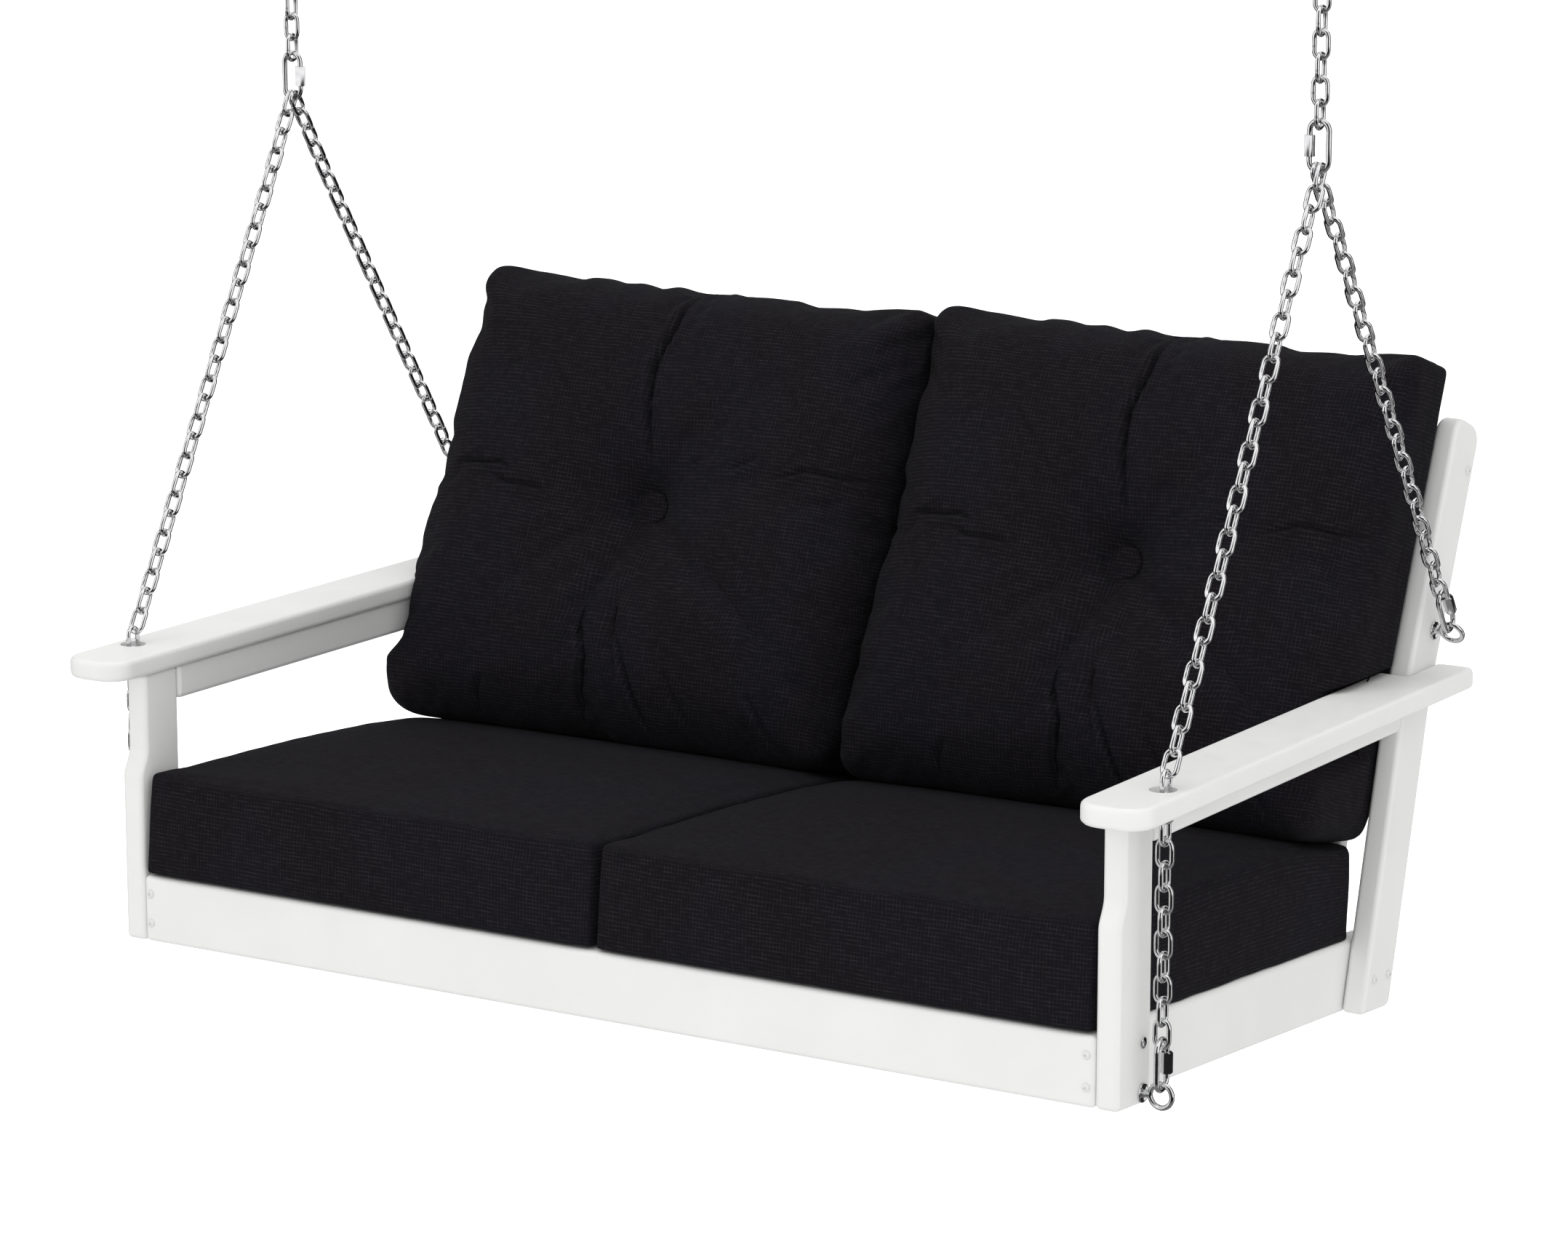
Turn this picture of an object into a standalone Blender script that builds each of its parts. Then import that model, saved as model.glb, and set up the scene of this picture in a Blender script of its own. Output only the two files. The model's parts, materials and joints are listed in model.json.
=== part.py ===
"""Porch swing seat: a two-seat board frame with loose cushions, hung from a ceiling on chain bridles.

Run with: blender --background --python part.py

Metres, +Z up, -Y is the open front, and +X is the right side seen from the front.
The origin is the middle of the front apron's underside. The swing is symmetric about x = 0.
"""

import math

import bmesh
import bpy
from mathutils import Euler, Vector

# Clearances and edges
GAP = 0.0003
SEAM = 0.0012
EDGE_RADIUS = 0.0065
SLAT_EDGE_RADIUS = 0.004
ARC_STEPS = 5

# Boards of the two side frames
INNER_WIDTH = 1.300
BOARD = 0.029
LEG_DEPTH = 0.076
LEG_TOP = 0.3253
LEG_SETBACK = 0.012
LEG_CURVE_LOW = 0.200
LEG_CURVE_HIGH = 0.235
LEG_CURVE_STEPS = 6
RAKE = math.radians(3.95)
POST_DEPTH = 0.0752
POST_FOOT = 0.6184
POST_BOTTOM = -0.041
POST_LOWER_LEAN = math.radians(14.92)
POST_BEND = 0.315
POST_UPPER_LEAN = math.radians(22.1)
POST_UPPER_LENGTH = 0.352
POST_TOP_RADIUS = 0.023
POST_HEEL_RADIUS = 0.011
ARM_RAIL_BOTTOM = 0.284

# Armrests
ARM_TOP = 0.3506
ARM_THICKNESS = 0.025
ARM_INNER = 0.6423
ARM_OUTER = 0.730
ARM_FRONT = -0.050
ARM_REAR = 0.790
ARM_NOTCH = 0.7055
ARM_FRONT_RADIUS = 0.033
ARM_REAR_RADIUS = 0.012
ARM_HOLE_X = 0.700
ARM_HOLE_DEPTH = 0.0535
ARM_HOLE_RADIUS = 0.0155

# Seat deck and back
RAIL_HEIGHT = 0.085
RAIL_REAR = 0.690
APRON_HEIGHT = 0.082
SLAT_THICKNESS = 0.022
SEAT_SLATS = 5
SEAT_SLAT_WIDTH = 0.100
SEAT_SLAT_RECESS = 0.001
SEAT_SLAT_FIRST = 0.033
SEAT_SLAT_LAST = 0.636
SUPPORT_REAR = 0.620
BACK_LEAN = math.radians(18.0)
BACK_PLANE = 0.640
BACK_SLATS = 7
BACK_SLAT_WIDTH = 0.076
BACK_SLAT_PITCH = 0.190
BACK_SLAT_LOW = -0.0315
BACK_SLAT_HIGH = 0.6288
BACK_RAIL_THICKNESS = 0.025
BACK_RAIL_HEIGHT = 0.076
REAR_RAIL_LOW = -0.0335
TOP_RAIL_LOW = 0.5715

# Cushions
CUSHION_INNER = 0.004
SEAT_CUSHION_OUTER = 0.645
SEAT_CUSHION_FRONT = 0.010
SEAT_CUSHION_REAR = 0.645
SEAT_CUSHION_THICKNESS = 0.122
SEAT_CUSHION_RADIUS = 0.012
BACK_CUSHION_OUTER = 0.641
BACK_CUSHION_RADIUS = 0.020

# Chain hardware
CHAIN_X = 0.702
CHAIN_WIRE = 0.0056
CHAIN_PITCH = 0.0253
CHAIN_WIDTH = 0.021
CHAIN_WEB = 0.0022
CHAIN_END_GAP = 0.003
UPPER_LINKS = 25
JUNCTION_DEPTH = 0.395
JUNCTION_Z = 0.977
BRIDLE_START = 0.026
FRONT_DROP_DEPTH = 0.056
FRONT_BEND_Z = 0.356
LINK_WIRE = 0.0065
LINK_LENGTH = 0.063
LINK_WIDTH = 0.030
LINK_GAP = 0.010
LINK_ARC_STEPS = 7
SLEEVE_ACROSS = 0.012
SLEEVE_LENGTH = 0.024
EYE_WIRE = 0.0063
EYE_RADIUS = 0.01335
EYE_FLANGE_RADIUS = 0.011
EYE_FLANGE_THICKNESS = 0.002
SHANK_RADIUS = 0.0039
SHANK_HOLE_RADIUS = 0.0043
SHANK_BEYOND_NUT = 0.003
NUT_ACROSS = 0.013
NUT_THICKNESS = 0.0065
FRONT_EYE_Z = 0.0095
REAR_EYE_DEPTH = 0.7787
REAR_EYE_Z = 0.3912
HANGER_PLATE = (0.050, 0.100, 0.006)
HANGER_EDGE_RADIUS = 0.0015
HANGER_EYE_RADIUS = 0.015
HANGER_HOLE_SPACING = 0.070
HANGER_HOLE_RADIUS = 0.004

# Button-head screws through the legs into the side rails
SCREW_DEPTH = 0.0566
SCREW_Z = 0.0659
SCREW_HEAD_RADIUS = 0.0068
SCREW_HEAD_HEIGHT = 0.0036
SCREW_SHANK_RADIUS = 0.0025
SCREW_LENGTH = 0.045

SIDES = (("left", -1), ("right", 1))
HALF_WIDTH = INNER_WIDTH / 2


def at_depth(distance):
    """The y of a point that lies this far behind the legs' front faces."""
    return distance - BOARD / 2


def clear_scene():
    for obj in list(bpy.data.objects):
        bpy.data.objects.remove(obj)


def make_collection(name):
    collection = bpy.data.collections.new(name)
    bpy.context.scene.collection.children.link(collection)
    return collection


def make_material(name, colour, roughness, metallic):
    material = bpy.data.materials.new(name)
    material.use_nodes = True
    shader = material.node_tree.nodes["Principled BSDF"]
    shader.inputs["Base Color"].default_value = (*colour, 1.0)
    shader.inputs["Roughness"].default_value = roughness
    shader.inputs["Metallic"].default_value = metallic
    material.diffuse_color = (*colour, 1.0)
    return material


clear_scene()
SWING = make_collection("porch_swing_seat")
GUIDES = make_collection("cutters_and_guides")
WHITE_BOARD = make_material("white_board", (0.80, 0.80, 0.79), 0.42, 0.0)
DARK_FABRIC = make_material("dark_fabric", (0.012, 0.011, 0.014), 0.95, 0.0)
POLISHED_STEEL = make_material("polished_steel", (0.72, 0.72, 0.73), 0.16, 1.0)


def make_empty(name, location, rotation):
    empty = bpy.data.objects.new(name, None)
    empty.location = location
    empty.rotation_euler = rotation
    GUIDES.objects.link(empty)
    return empty


def add_object(name, data, material, parent=None):
    obj = bpy.data.objects.new(name, data)
    if not data.materials:
        data.materials.append(material)
    SWING.objects.link(obj)
    obj.parent = parent
    return obj


def as_guide(obj):
    """Marks an object as a cutter or a boolean helper that isn't itself a part."""
    for collection in list(obj.users_collection):
        collection.objects.unlink(obj)
    GUIDES.objects.link(obj)
    obj.hide_render = True
    obj.display_type = "WIRE"
    return obj


def box_mesh(name, size):
    mesh = bpy.data.meshes.new(name)
    bm = bmesh.new()
    bmesh.ops.create_cube(bm, size=1.0)
    bmesh.ops.scale(bm, vec=Vector(size), verts=bm.verts)
    bm.to_mesh(mesh)
    bm.free()
    return mesh


def cylinder_mesh(name, radius, length, segments):
    mesh = bpy.data.meshes.new(name)
    bm = bmesh.new()
    bmesh.ops.create_cone(
        bm, cap_ends=True, segments=segments, radius1=radius, radius2=radius, depth=length
    )
    bm.to_mesh(mesh)
    bm.free()
    return mesh


def round_edges(obj, radius, segments):
    bevel = obj.modifiers.new("rounded_edges", "BEVEL")
    bevel.width = radius
    bevel.segments = segments
    bevel.limit_method = "ANGLE"
    bevel.angle_limit = math.radians(35)


def combine(obj, other, operation):
    boolean = obj.modifiers.new(other.name, "BOOLEAN")
    boolean.operation = operation
    boolean.object = other
    boolean.solver = "EXACT"


def smooth_round_faces(obj):
    obj.data.shade_smooth()
    obj.data.set_sharp_from_angle(angle=math.radians(40))


def box_part(name, low, high, material, parent=None, radius=EDGE_RADIUS, segments=3):
    """A rounded board between two opposite corners, given in its parent's frame."""
    low = Vector(low)
    high = Vector(high)
    obj = add_object(name, box_mesh(name, high - low), material, parent)
    obj.location = (low + high) / 2
    round_edges(obj, radius, segments)
    return obj


def fillet(before, corner, after, radius, steps=ARC_STEPS):
    """Points of the arc that rounds a corner between two straight lines."""
    before = Vector(before)
    corner = Vector(corner)
    after = Vector(after)
    inward = (before - corner).normalized()
    outward = (after - corner).normalized()
    half_angle = inward.angle(outward) / 2
    centre = corner + (inward + outward).normalized() * radius / math.sin(half_angle)
    start = corner + inward * radius / math.tan(half_angle) - centre
    end = corner + outward * radius / math.tan(half_angle) - centre
    sweep = start.angle_signed(end)
    points = []
    for step in range(steps + 1):
        turn = -sweep * step / steps
        spoke = Vector((
            start.x * math.cos(turn) - start.y * math.sin(turn),
            start.x * math.sin(turn) + start.y * math.cos(turn),
        ))
        points.append(tuple(centre + spoke))
    return points


def rounded_outline(corners):
    """Turns (a, b, radius) corners into outline points, with an arc where the radius isn't zero."""
    points = []
    for index, (a, b, radius) in enumerate(corners):
        if radius == 0:
            points.append((a, b))
            continue
        before = corners[index - 1][:2]
        after = corners[(index + 1) % len(corners)][:2]
        points.extend(fillet(before, (a, b), after, radius))
    return points


def mesh_from_curve(name, curve, location, rotation):
    """The evaluated mesh of a curve, welded, with flat faces left whole, and its world matrix."""
    source = bpy.data.objects.new(name + "_curve", curve)
    source.location = location
    source.rotation_euler = rotation
    SWING.objects.link(source)
    bpy.context.view_layer.update()
    evaluated = source.evaluated_get(bpy.context.evaluated_depsgraph_get())
    mesh = bpy.data.meshes.new_from_object(evaluated)
    mesh.name = name
    mesh.materials.clear()
    matrix = source.matrix_world.copy()
    bpy.data.objects.remove(source)
    bm = bmesh.new()
    bm.from_mesh(mesh)
    bmesh.ops.remove_doubles(bm, verts=bm.verts, dist=0.00001)
    bmesh.ops.dissolve_limit(bm, angle_limit=math.radians(0.5), verts=bm.verts, edges=bm.edges)
    bmesh.ops.recalc_face_normals(bm, faces=bm.faces)
    bm.to_mesh(mesh)
    bm.free()
    return mesh, matrix


def outline_part(name, outline, thickness, material, location, rotation):
    """A board cut from a flat outline, centred on the outline's plane."""
    curve = bpy.data.curves.new(name, "CURVE")
    curve.dimensions = "2D"
    curve.fill_mode = "BOTH"
    curve.extrude = thickness / 2
    spline = curve.splines.new("POLY")
    spline.points.add(len(outline) - 1)
    for point, (a, b) in zip(spline.points, outline):
        point.co = (a, b, 0.0, 1.0)
    spline.use_cyclic_u = True
    mesh, matrix = mesh_from_curve(name, curve, location, rotation)
    obj = add_object(name, mesh, material)
    obj.matrix_world = matrix
    return obj


def side_board(name, outline, x, material, thickness=BOARD):
    """A board whose outline is given as (y, z) and whose thickness runs along X."""
    upright = (math.pi / 2, 0.0, math.pi / 2)
    return outline_part(name, outline, thickness, material, (x, 0.0, 0.0), upright)


def drill_along_x(board, name, x, y, z, radius, length):
    cutter = bpy.data.objects.new(name, cylinder_mesh(name, radius, length, 12))
    GUIDES.objects.link(cutter)
    cutter.location = (x, y, z)
    cutter.rotation_euler = (0.0, math.pi / 2, 0.0)
    combine(board, as_guide(cutter), "DIFFERENCE")


def leg_outline():
    front = at_depth(0)
    rear = at_depth(LEG_DEPTH)
    points = [(front, 0.0)]
    for step in range(LEG_CURVE_STEPS + 1):
        share = step / LEG_CURVE_STEPS
        back = LEG_SETBACK * (1 - math.cos(math.pi * share)) / 2
        points.append((front + back, LEG_CURVE_LOW + share * (LEG_CURVE_HIGH - LEG_CURVE_LOW)))
    points.append((front + LEG_SETBACK, LEG_TOP))
    points.append((rear, LEG_TOP))
    points.append((rear, -LEG_DEPTH * math.tan(RAKE)))
    return points


def make_leg(side, sign):
    leg = side_board(f"leg_{side}", leg_outline(), sign * (HALF_WIDTH + BOARD / 2), WHITE_BOARD)
    round_edges(leg, EDGE_RADIUS, 3)
    return leg


def post_front(z):
    """How far the post's front face is behind the legs' front, at a height up to the bend."""
    return POST_FOOT + math.tan(POST_LOWER_LEAN) * z


def post_outline():
    along = Vector((math.sin(POST_UPPER_LEAN), math.cos(POST_UPPER_LEAN)))
    across = Vector((along.y, -along.x))
    bend = Vector((at_depth(post_front(POST_BEND)), POST_BEND))
    top_front = bend + along * POST_UPPER_LENGTH
    top_rear = top_front + across * POST_DEPTH * math.cos(POST_UPPER_LEAN)
    toe = at_depth(post_front(POST_BOTTOM))
    heel_z = POST_BOTTOM - POST_DEPTH * math.tan(RAKE)
    heel = toe + POST_DEPTH + math.tan(POST_LOWER_LEAN) * (heel_z - POST_BOTTOM)
    return rounded_outline([
        (toe, POST_BOTTOM, 0),
        (bend.x, bend.y, 0),
        (top_front.x, top_front.y, POST_TOP_RADIUS),
        (top_rear.x, top_rear.y, POST_TOP_RADIUS),
        (bend.x + POST_DEPTH, bend.y, 0),
        (heel, heel_z, POST_HEEL_RADIUS),
    ])


def make_post(side, sign):
    x = sign * (HALF_WIDTH + BOARD / 2)
    post = side_board(f"back_post_{side}", post_outline(), x, WHITE_BOARD)
    round_edges(post, EDGE_RADIUS, 3)
    return post


def make_arm_rail(side, sign):
    """The board under the armrest, in line with the leg and the post."""
    front = at_depth(LEG_DEPTH + SEAM)
    low_rear = at_depth(post_front(ARM_RAIL_BOTTOM) - SEAM)
    high_rear = at_depth(post_front(LEG_TOP) - SEAM)
    outline = [
        (front, ARM_RAIL_BOTTOM),
        (front, LEG_TOP),
        (high_rear, LEG_TOP),
        (low_rear, ARM_RAIL_BOTTOM),
    ]
    x = sign * (HALF_WIDTH + BOARD / 2)
    rail = side_board(f"arm_rail_{side}", outline, x, WHITE_BOARD)
    round_edges(rail, EDGE_RADIUS, 3)


def make_armrest(side, sign):
    """A flat arm, notched at the inner rear so that it passes outside the post."""
    post_face = HALF_WIDTH + BOARD + GAP
    outline = rounded_outline([
        (sign * ARM_INNER, at_depth(ARM_FRONT), ARM_FRONT_RADIUS),
        (sign * ARM_INNER, at_depth(ARM_NOTCH), 0),
        (sign * post_face, at_depth(ARM_NOTCH), 0),
        (sign * post_face, at_depth(ARM_REAR), 0),
        (sign * ARM_OUTER, at_depth(ARM_REAR), ARM_REAR_RADIUS),
        (sign * ARM_OUTER, at_depth(ARM_FRONT), ARM_FRONT_RADIUS),
    ])
    middle = ARM_TOP - ARM_THICKNESS / 2
    level = (0.0, 0.0, 0.0)
    arm = outline_part(
        f"armrest_{side}", outline, ARM_THICKNESS, WHITE_BOARD, (0.0, 0.0, middle), level
    )
    round_edges(arm, EDGE_RADIUS, 3)
    name = f"chain_hole_{side}"
    hole = cylinder_mesh(name, ARM_HOLE_RADIUS, 2 * ARM_THICKNESS, 32)
    cutter = bpy.data.objects.new(name, hole)
    GUIDES.objects.link(cutter)
    cutter.location = (sign * ARM_HOLE_X, at_depth(ARM_HOLE_DEPTH), middle)
    combine(arm, as_guide(cutter), "DIFFERENCE")


def make_side_rail(side, sign, deck):
    outer = HALF_WIDTH - 2 * GAP
    low_x, high_x = sorted((sign * outer, sign * (outer - BOARD)))
    return box_part(
        f"side_rail_{side}",
        (low_x, BOARD + 2 * GAP, 0.0),
        (high_x, RAIL_REAR, RAIL_HEIGHT),
        WHITE_BOARD,
        deck,
    )


def make_deck(deck):
    """The front apron, the seat slats and the support under their middles."""
    end = HALF_WIDTH - GAP
    box_part(
        "front_apron", (-end, at_depth(0), 0.0), (end, at_depth(BOARD), APRON_HEIGHT), WHITE_BOARD
    )
    slat_end = HALF_WIDTH - 2 * GAP - BOARD - GAP
    slat_top = RAIL_HEIGHT - SEAT_SLAT_RECESS
    slat_low = slat_top - SLAT_THICKNESS
    pitch = (SEAT_SLAT_LAST - SEAT_SLAT_WIDTH - SEAT_SLAT_FIRST) / (SEAT_SLATS - 1)
    for index in range(SEAT_SLATS):
        front = SEAT_SLAT_FIRST + index * pitch
        box_part(
            f"seat_slat_{index + 1}",
            (-slat_end, front, slat_low),
            (slat_end, front + SEAT_SLAT_WIDTH, slat_top),
            WHITE_BOARD,
            deck,
            SLAT_EDGE_RADIUS,
            2,
        )
    box_part(
        "centre_support",
        (-BOARD / 2, BOARD + 2 * GAP, 0.0),
        (BOARD / 2, SUPPORT_REAR, slat_low - GAP),
        WHITE_BOARD,
        deck,
        SLAT_EDGE_RADIUS,
        2,
    )


def make_back(back):
    """Upright slats on a rear rail and a top rail; local y runs rearward from the slats' front."""
    for index in range(BACK_SLATS):
        x = (index - (BACK_SLATS - 1) / 2) * BACK_SLAT_PITCH
        box_part(
            f"back_slat_{index + 1}",
            (x - BACK_SLAT_WIDTH / 2, 0.0, BACK_SLAT_LOW),
            (x + BACK_SLAT_WIDTH / 2, SLAT_THICKNESS, BACK_SLAT_HIGH),
            WHITE_BOARD,
            back,
            SLAT_EDGE_RADIUS,
            2,
        )
    front = SLAT_THICKNESS + GAP
    rear = front + BACK_RAIL_THICKNESS
    rear_rail_end = HALF_WIDTH - 2 * GAP - BOARD - GAP
    rails = (
        ("rear_rail", rear_rail_end, REAR_RAIL_LOW),
        ("top_back_rail", HALF_WIDTH - GAP, TOP_RAIL_LOW),
    )
    for name, end, low in rails:
        box_part(
            name, (-end, front, low), (end, rear, low + BACK_RAIL_HEIGHT), WHITE_BOARD, back
        )


def make_seat_cushion(side, sign, deck):
    low_x, high_x = sorted((sign * CUSHION_INNER, sign * SEAT_CUSHION_OUTER))
    low_z = RAIL_HEIGHT + GAP
    box_part(
        f"seat_cushion_{side}",
        (low_x, SEAT_CUSHION_FRONT, low_z),
        (high_x, SEAT_CUSHION_REAR, low_z + SEAT_CUSHION_THICKNESS),
        DARK_FABRIC,
        deck,
        SEAT_CUSHION_RADIUS,
        2,
    )


def make_back_cushion(side, sign, back):
    """A cushion that is thickest low down, as (distance in front of the slats, height) corners."""
    profile = rounded_outline([
        (-0.001, 0.172, 0.015),
        (-0.175, 0.132, 0.020),
        (-0.205, 0.168, 0.025),
        (-0.200, 0.270, 0),
        (-0.150, 0.640, 0.020),
        (-0.095, 0.722, 0.030),
        (-0.001, 0.722, 0.020),
    ])
    width = BACK_CUSHION_OUTER - CUSHION_INNER
    x = sign * (BACK_CUSHION_OUTER + CUSHION_INNER) / 2
    cushion = side_board(f"back_cushion_{side}", profile, x, DARK_FABRIC, width)
    cushion.parent = back
    round_edges(cushion, BACK_CUSHION_RADIUS, 2)


def capped_curve(name, points):
    """An open path through the given points whose swept section gets flat closed ends."""
    curve = bpy.data.curves.new(name, "CURVE")
    curve.dimensions = "3D"
    curve.use_fill_caps = True
    spline = curve.splines.new("POLY")
    spline.points.add(len(points) - 1)
    for point, place in zip(spline.points, points):
        point.co = (*place, 1.0)
    return curve


def quick_link_path():
    """Centre line of an oval link in the local XZ plane, open in the middle of its -X side."""
    half_width = (LINK_WIDTH - LINK_WIRE) / 2
    straight = (LINK_LENGTH - LINK_WIRE) / 2 - half_width
    points = [(-half_width, 0.0, LINK_GAP / 2)]
    for centre_z, first_angle in ((straight, math.pi), (-straight, 0.0)):
        for step in range(LINK_ARC_STEPS + 1):
            angle = first_angle - math.pi * step / LINK_ARC_STEPS
            x = half_width * math.cos(angle)
            z = centre_z + half_width * math.sin(angle)
            points.append((x, 0.0, z))
    points.append((-half_width, 0.0, -LINK_GAP / 2))
    return points


def hexagon_sleeve(name, across, length, bore_radius):
    """A hexagon bar along local Z with a round bore right through it."""
    mesh = cylinder_mesh(name, across / math.sqrt(3), length, 6)
    obj = add_object(name, mesh, POLISHED_STEEL)
    bore_name = name + "_bore"
    cutter = bpy.data.objects.new(bore_name, cylinder_mesh(bore_name, bore_radius, length * 2, 12))
    GUIDES.objects.link(cutter)
    cutter.parent = obj
    combine(obj, as_guide(cutter), "DIFFERENCE")
    return obj


def make_quick_link(label, location, turn, tilt):
    """An oval screw link and its sleeve, turned about Z and then tilted about X.

    The sleeve's side is local -X.
    """
    name = f"quick_link_{label}"
    wire = capped_curve(name, quick_link_path())
    wire.bevel_depth = LINK_WIRE / 2
    wire.bevel_resolution = 2
    link = add_object(name, wire, POLISHED_STEEL)
    bore = LINK_WIRE / 2 + GAP
    sleeve = hexagon_sleeve(f"quick_link_sleeve_{label}", SLEEVE_ACROSS, SLEEVE_LENGTH, bore)
    rotation = Euler((tilt, 0.0, turn), "ZYX")
    side = Vector((-(LINK_WIDTH - LINK_WIRE) / 2, 0.0, 0.0))
    link.location = location
    sleeve.location = Vector(location) + rotation.to_matrix() @ side
    for obj in (link, sleeve):
        obj.rotation_mode = "ZYX"
        obj.rotation_euler = rotation


def ring_mesh(name, ring_radius, wire_radius):
    """A ring in the local XZ plane."""
    bpy.ops.mesh.primitive_torus_add(
        major_radius=ring_radius,
        minor_radius=wire_radius,
        major_segments=18,
        minor_segments=6,
        rotation=(math.pi / 2, 0.0, 0.0),
    )
    ring = bpy.context.object
    bpy.ops.object.transform_apply(location=False, rotation=True, scale=False)
    mesh = ring.data
    mesh.name = name
    bpy.data.objects.remove(ring)
    return mesh


def helper(name, mesh, parent, location, rotation=(0.0, 0.0, 0.0)):
    obj = bpy.data.objects.new(name, mesh)
    GUIDES.objects.link(obj)
    obj.parent = parent
    obj.location = location
    obj.rotation_euler = rotation
    return as_guide(obj)


def make_eye_bolt(label, sign, y, z, inner_face, tilt):
    """An eye on a flange and a threaded shank that runs inboard through the boards to a nut."""
    name = f"eye_bolt_{label}"
    outer_face = HALF_WIDTH + BOARD
    eye = add_object(name, ring_mesh(name, EYE_RADIUS, EYE_WIRE / 2), POLISHED_STEEL)
    eye.location = (sign * CHAIN_X, y, z)
    eye.rotation_euler = (tilt, 0.0, 0.0)

    shank_start = CHAIN_X - EYE_RADIUS
    shank_end = inner_face - GAP - NUT_THICKNESS - SHANK_BEYOND_NUT
    shank_length = shank_start - shank_end
    shank_mesh = cylinder_mesh(name + "_shank", SHANK_RADIUS, shank_length, 12)
    shank_x = sign * ((shank_start + shank_end) / 2 - CHAIN_X)
    lying = (0.0, math.pi / 2, 0.0)
    combine(eye, helper(name + "_shank", shank_mesh, eye, (shank_x, 0.0, 0.0), lying), "UNION")

    flange_mesh = cylinder_mesh(
        name + "_flange", EYE_FLANGE_RADIUS, EYE_FLANGE_THICKNESS, 16
    )
    flange_x = sign * (outer_face + GAP + EYE_FLANGE_THICKNESS / 2 - CHAIN_X)
    combine(eye, helper(name + "_flange", flange_mesh, eye, (flange_x, 0.0, 0.0), lying), "UNION")

    nut = hexagon_sleeve(
        f"eye_bolt_nut_{label}", NUT_ACROSS, NUT_THICKNESS, SHANK_RADIUS + GAP
    )
    nut.location = (sign * (inner_face - GAP - NUT_THICKNESS / 2), y, z)
    nut.rotation_euler = lying


def cross_profile():
    """The cross-shaped section that stands for a chain's alternating links."""
    curve = bpy.data.curves.new("chain_section", "CURVE")
    curve.dimensions = "2D"
    spline = curve.splines.new("POLY")
    arm = CHAIN_WIDTH / 2
    web = CHAIN_WEB / 2
    points = []
    for quarter in range(4):
        turn = quarter * math.pi / 2
        for a, b in ((arm, -web), (arm, web), (web, web)):
            x = a * math.cos(turn) - b * math.sin(turn)
            y = a * math.sin(turn) + b * math.cos(turn)
            points.append((x, y))
    spline.points.add(len(points) - 1)
    for point, (x, y) in zip(spline.points, points):
        point.co = (x, y, 0.0, 1.0)
    spline.use_cyclic_u = True
    profile = bpy.data.objects.new("chain_section", curve)
    GUIDES.objects.link(profile)
    return as_guide(profile)


def make_chain(name, points, profile):
    """One taut run of chain as a solid bar with the links' outer width both ways."""
    curve = capped_curve(name, points)
    curve.bevel_mode = "OBJECT"
    curve.bevel_object = profile
    mesh, matrix = mesh_from_curve(name, curve, (0.0, 0.0, 0.0), (0.0, 0.0, 0.0))
    add_object(name, mesh, POLISHED_STEEL).matrix_world = matrix


def bridle_angle(y, z):
    """Tilt about X that turns +Z towards the bridle junction from a point at (y, z)."""
    return math.atan2(y - at_depth(JUNCTION_DEPTH), JUNCTION_Z - z)


def seated_link_offset():
    """From an eye's centre to the centre of the quick link hooked over its far side."""
    hooked = EYE_RADIUS - (EYE_WIRE + LINK_WIRE) / 2 - GAP
    return hooked + (LINK_LENGTH - LINK_WIRE) / 2


def upper_link_z():
    return JUNCTION_Z + (LINK_LENGTH - LINK_WIRE) / 2


def swing_axis_z():
    """Height of the ceiling eye's lower wire, which the top chain link hangs on."""
    hooked = (LINK_WIRE + CHAIN_WIRE) / 2
    quick_link_top = JUNCTION_Z + LINK_LENGTH - LINK_WIRE
    chain = UPPER_LINKS * CHAIN_PITCH + CHAIN_WIRE
    return quick_link_top - hooked + chain - hooked


def make_chains(side, sign, profile):
    x = sign * CHAIN_X
    y = at_depth(JUNCTION_DEPTH)
    outer = LINK_WIRE / 2 + CHAIN_END_GAP
    low = JUNCTION_Z + LINK_LENGTH - LINK_WIRE + outer
    make_chain(f"upper_chain_{side}", [(x, y, low), (x, y, swing_axis_z() - outer)], profile)

    junction = Vector((x, y, JUNCTION_Z))
    reach = seated_link_offset() + LINK_LENGTH / 2 + CHAIN_END_GAP
    bend = Vector((x, at_depth(FRONT_DROP_DEPTH), FRONT_BEND_Z))
    start = junction + (bend - junction).normalized() * BRIDLE_START
    end = Vector((x, bend.y, FRONT_EYE_Z + reach))
    make_chain(f"front_bridle_chain_{side}", [start, bend, end], profile)

    eye = Vector((x, at_depth(REAR_EYE_DEPTH), REAR_EYE_Z))
    along = (eye - junction).normalized()
    make_chain(
        f"rear_bridle_chain_{side}",
        [junction + along * BRIDLE_START, eye - along * reach],
        profile,
    )


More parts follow.
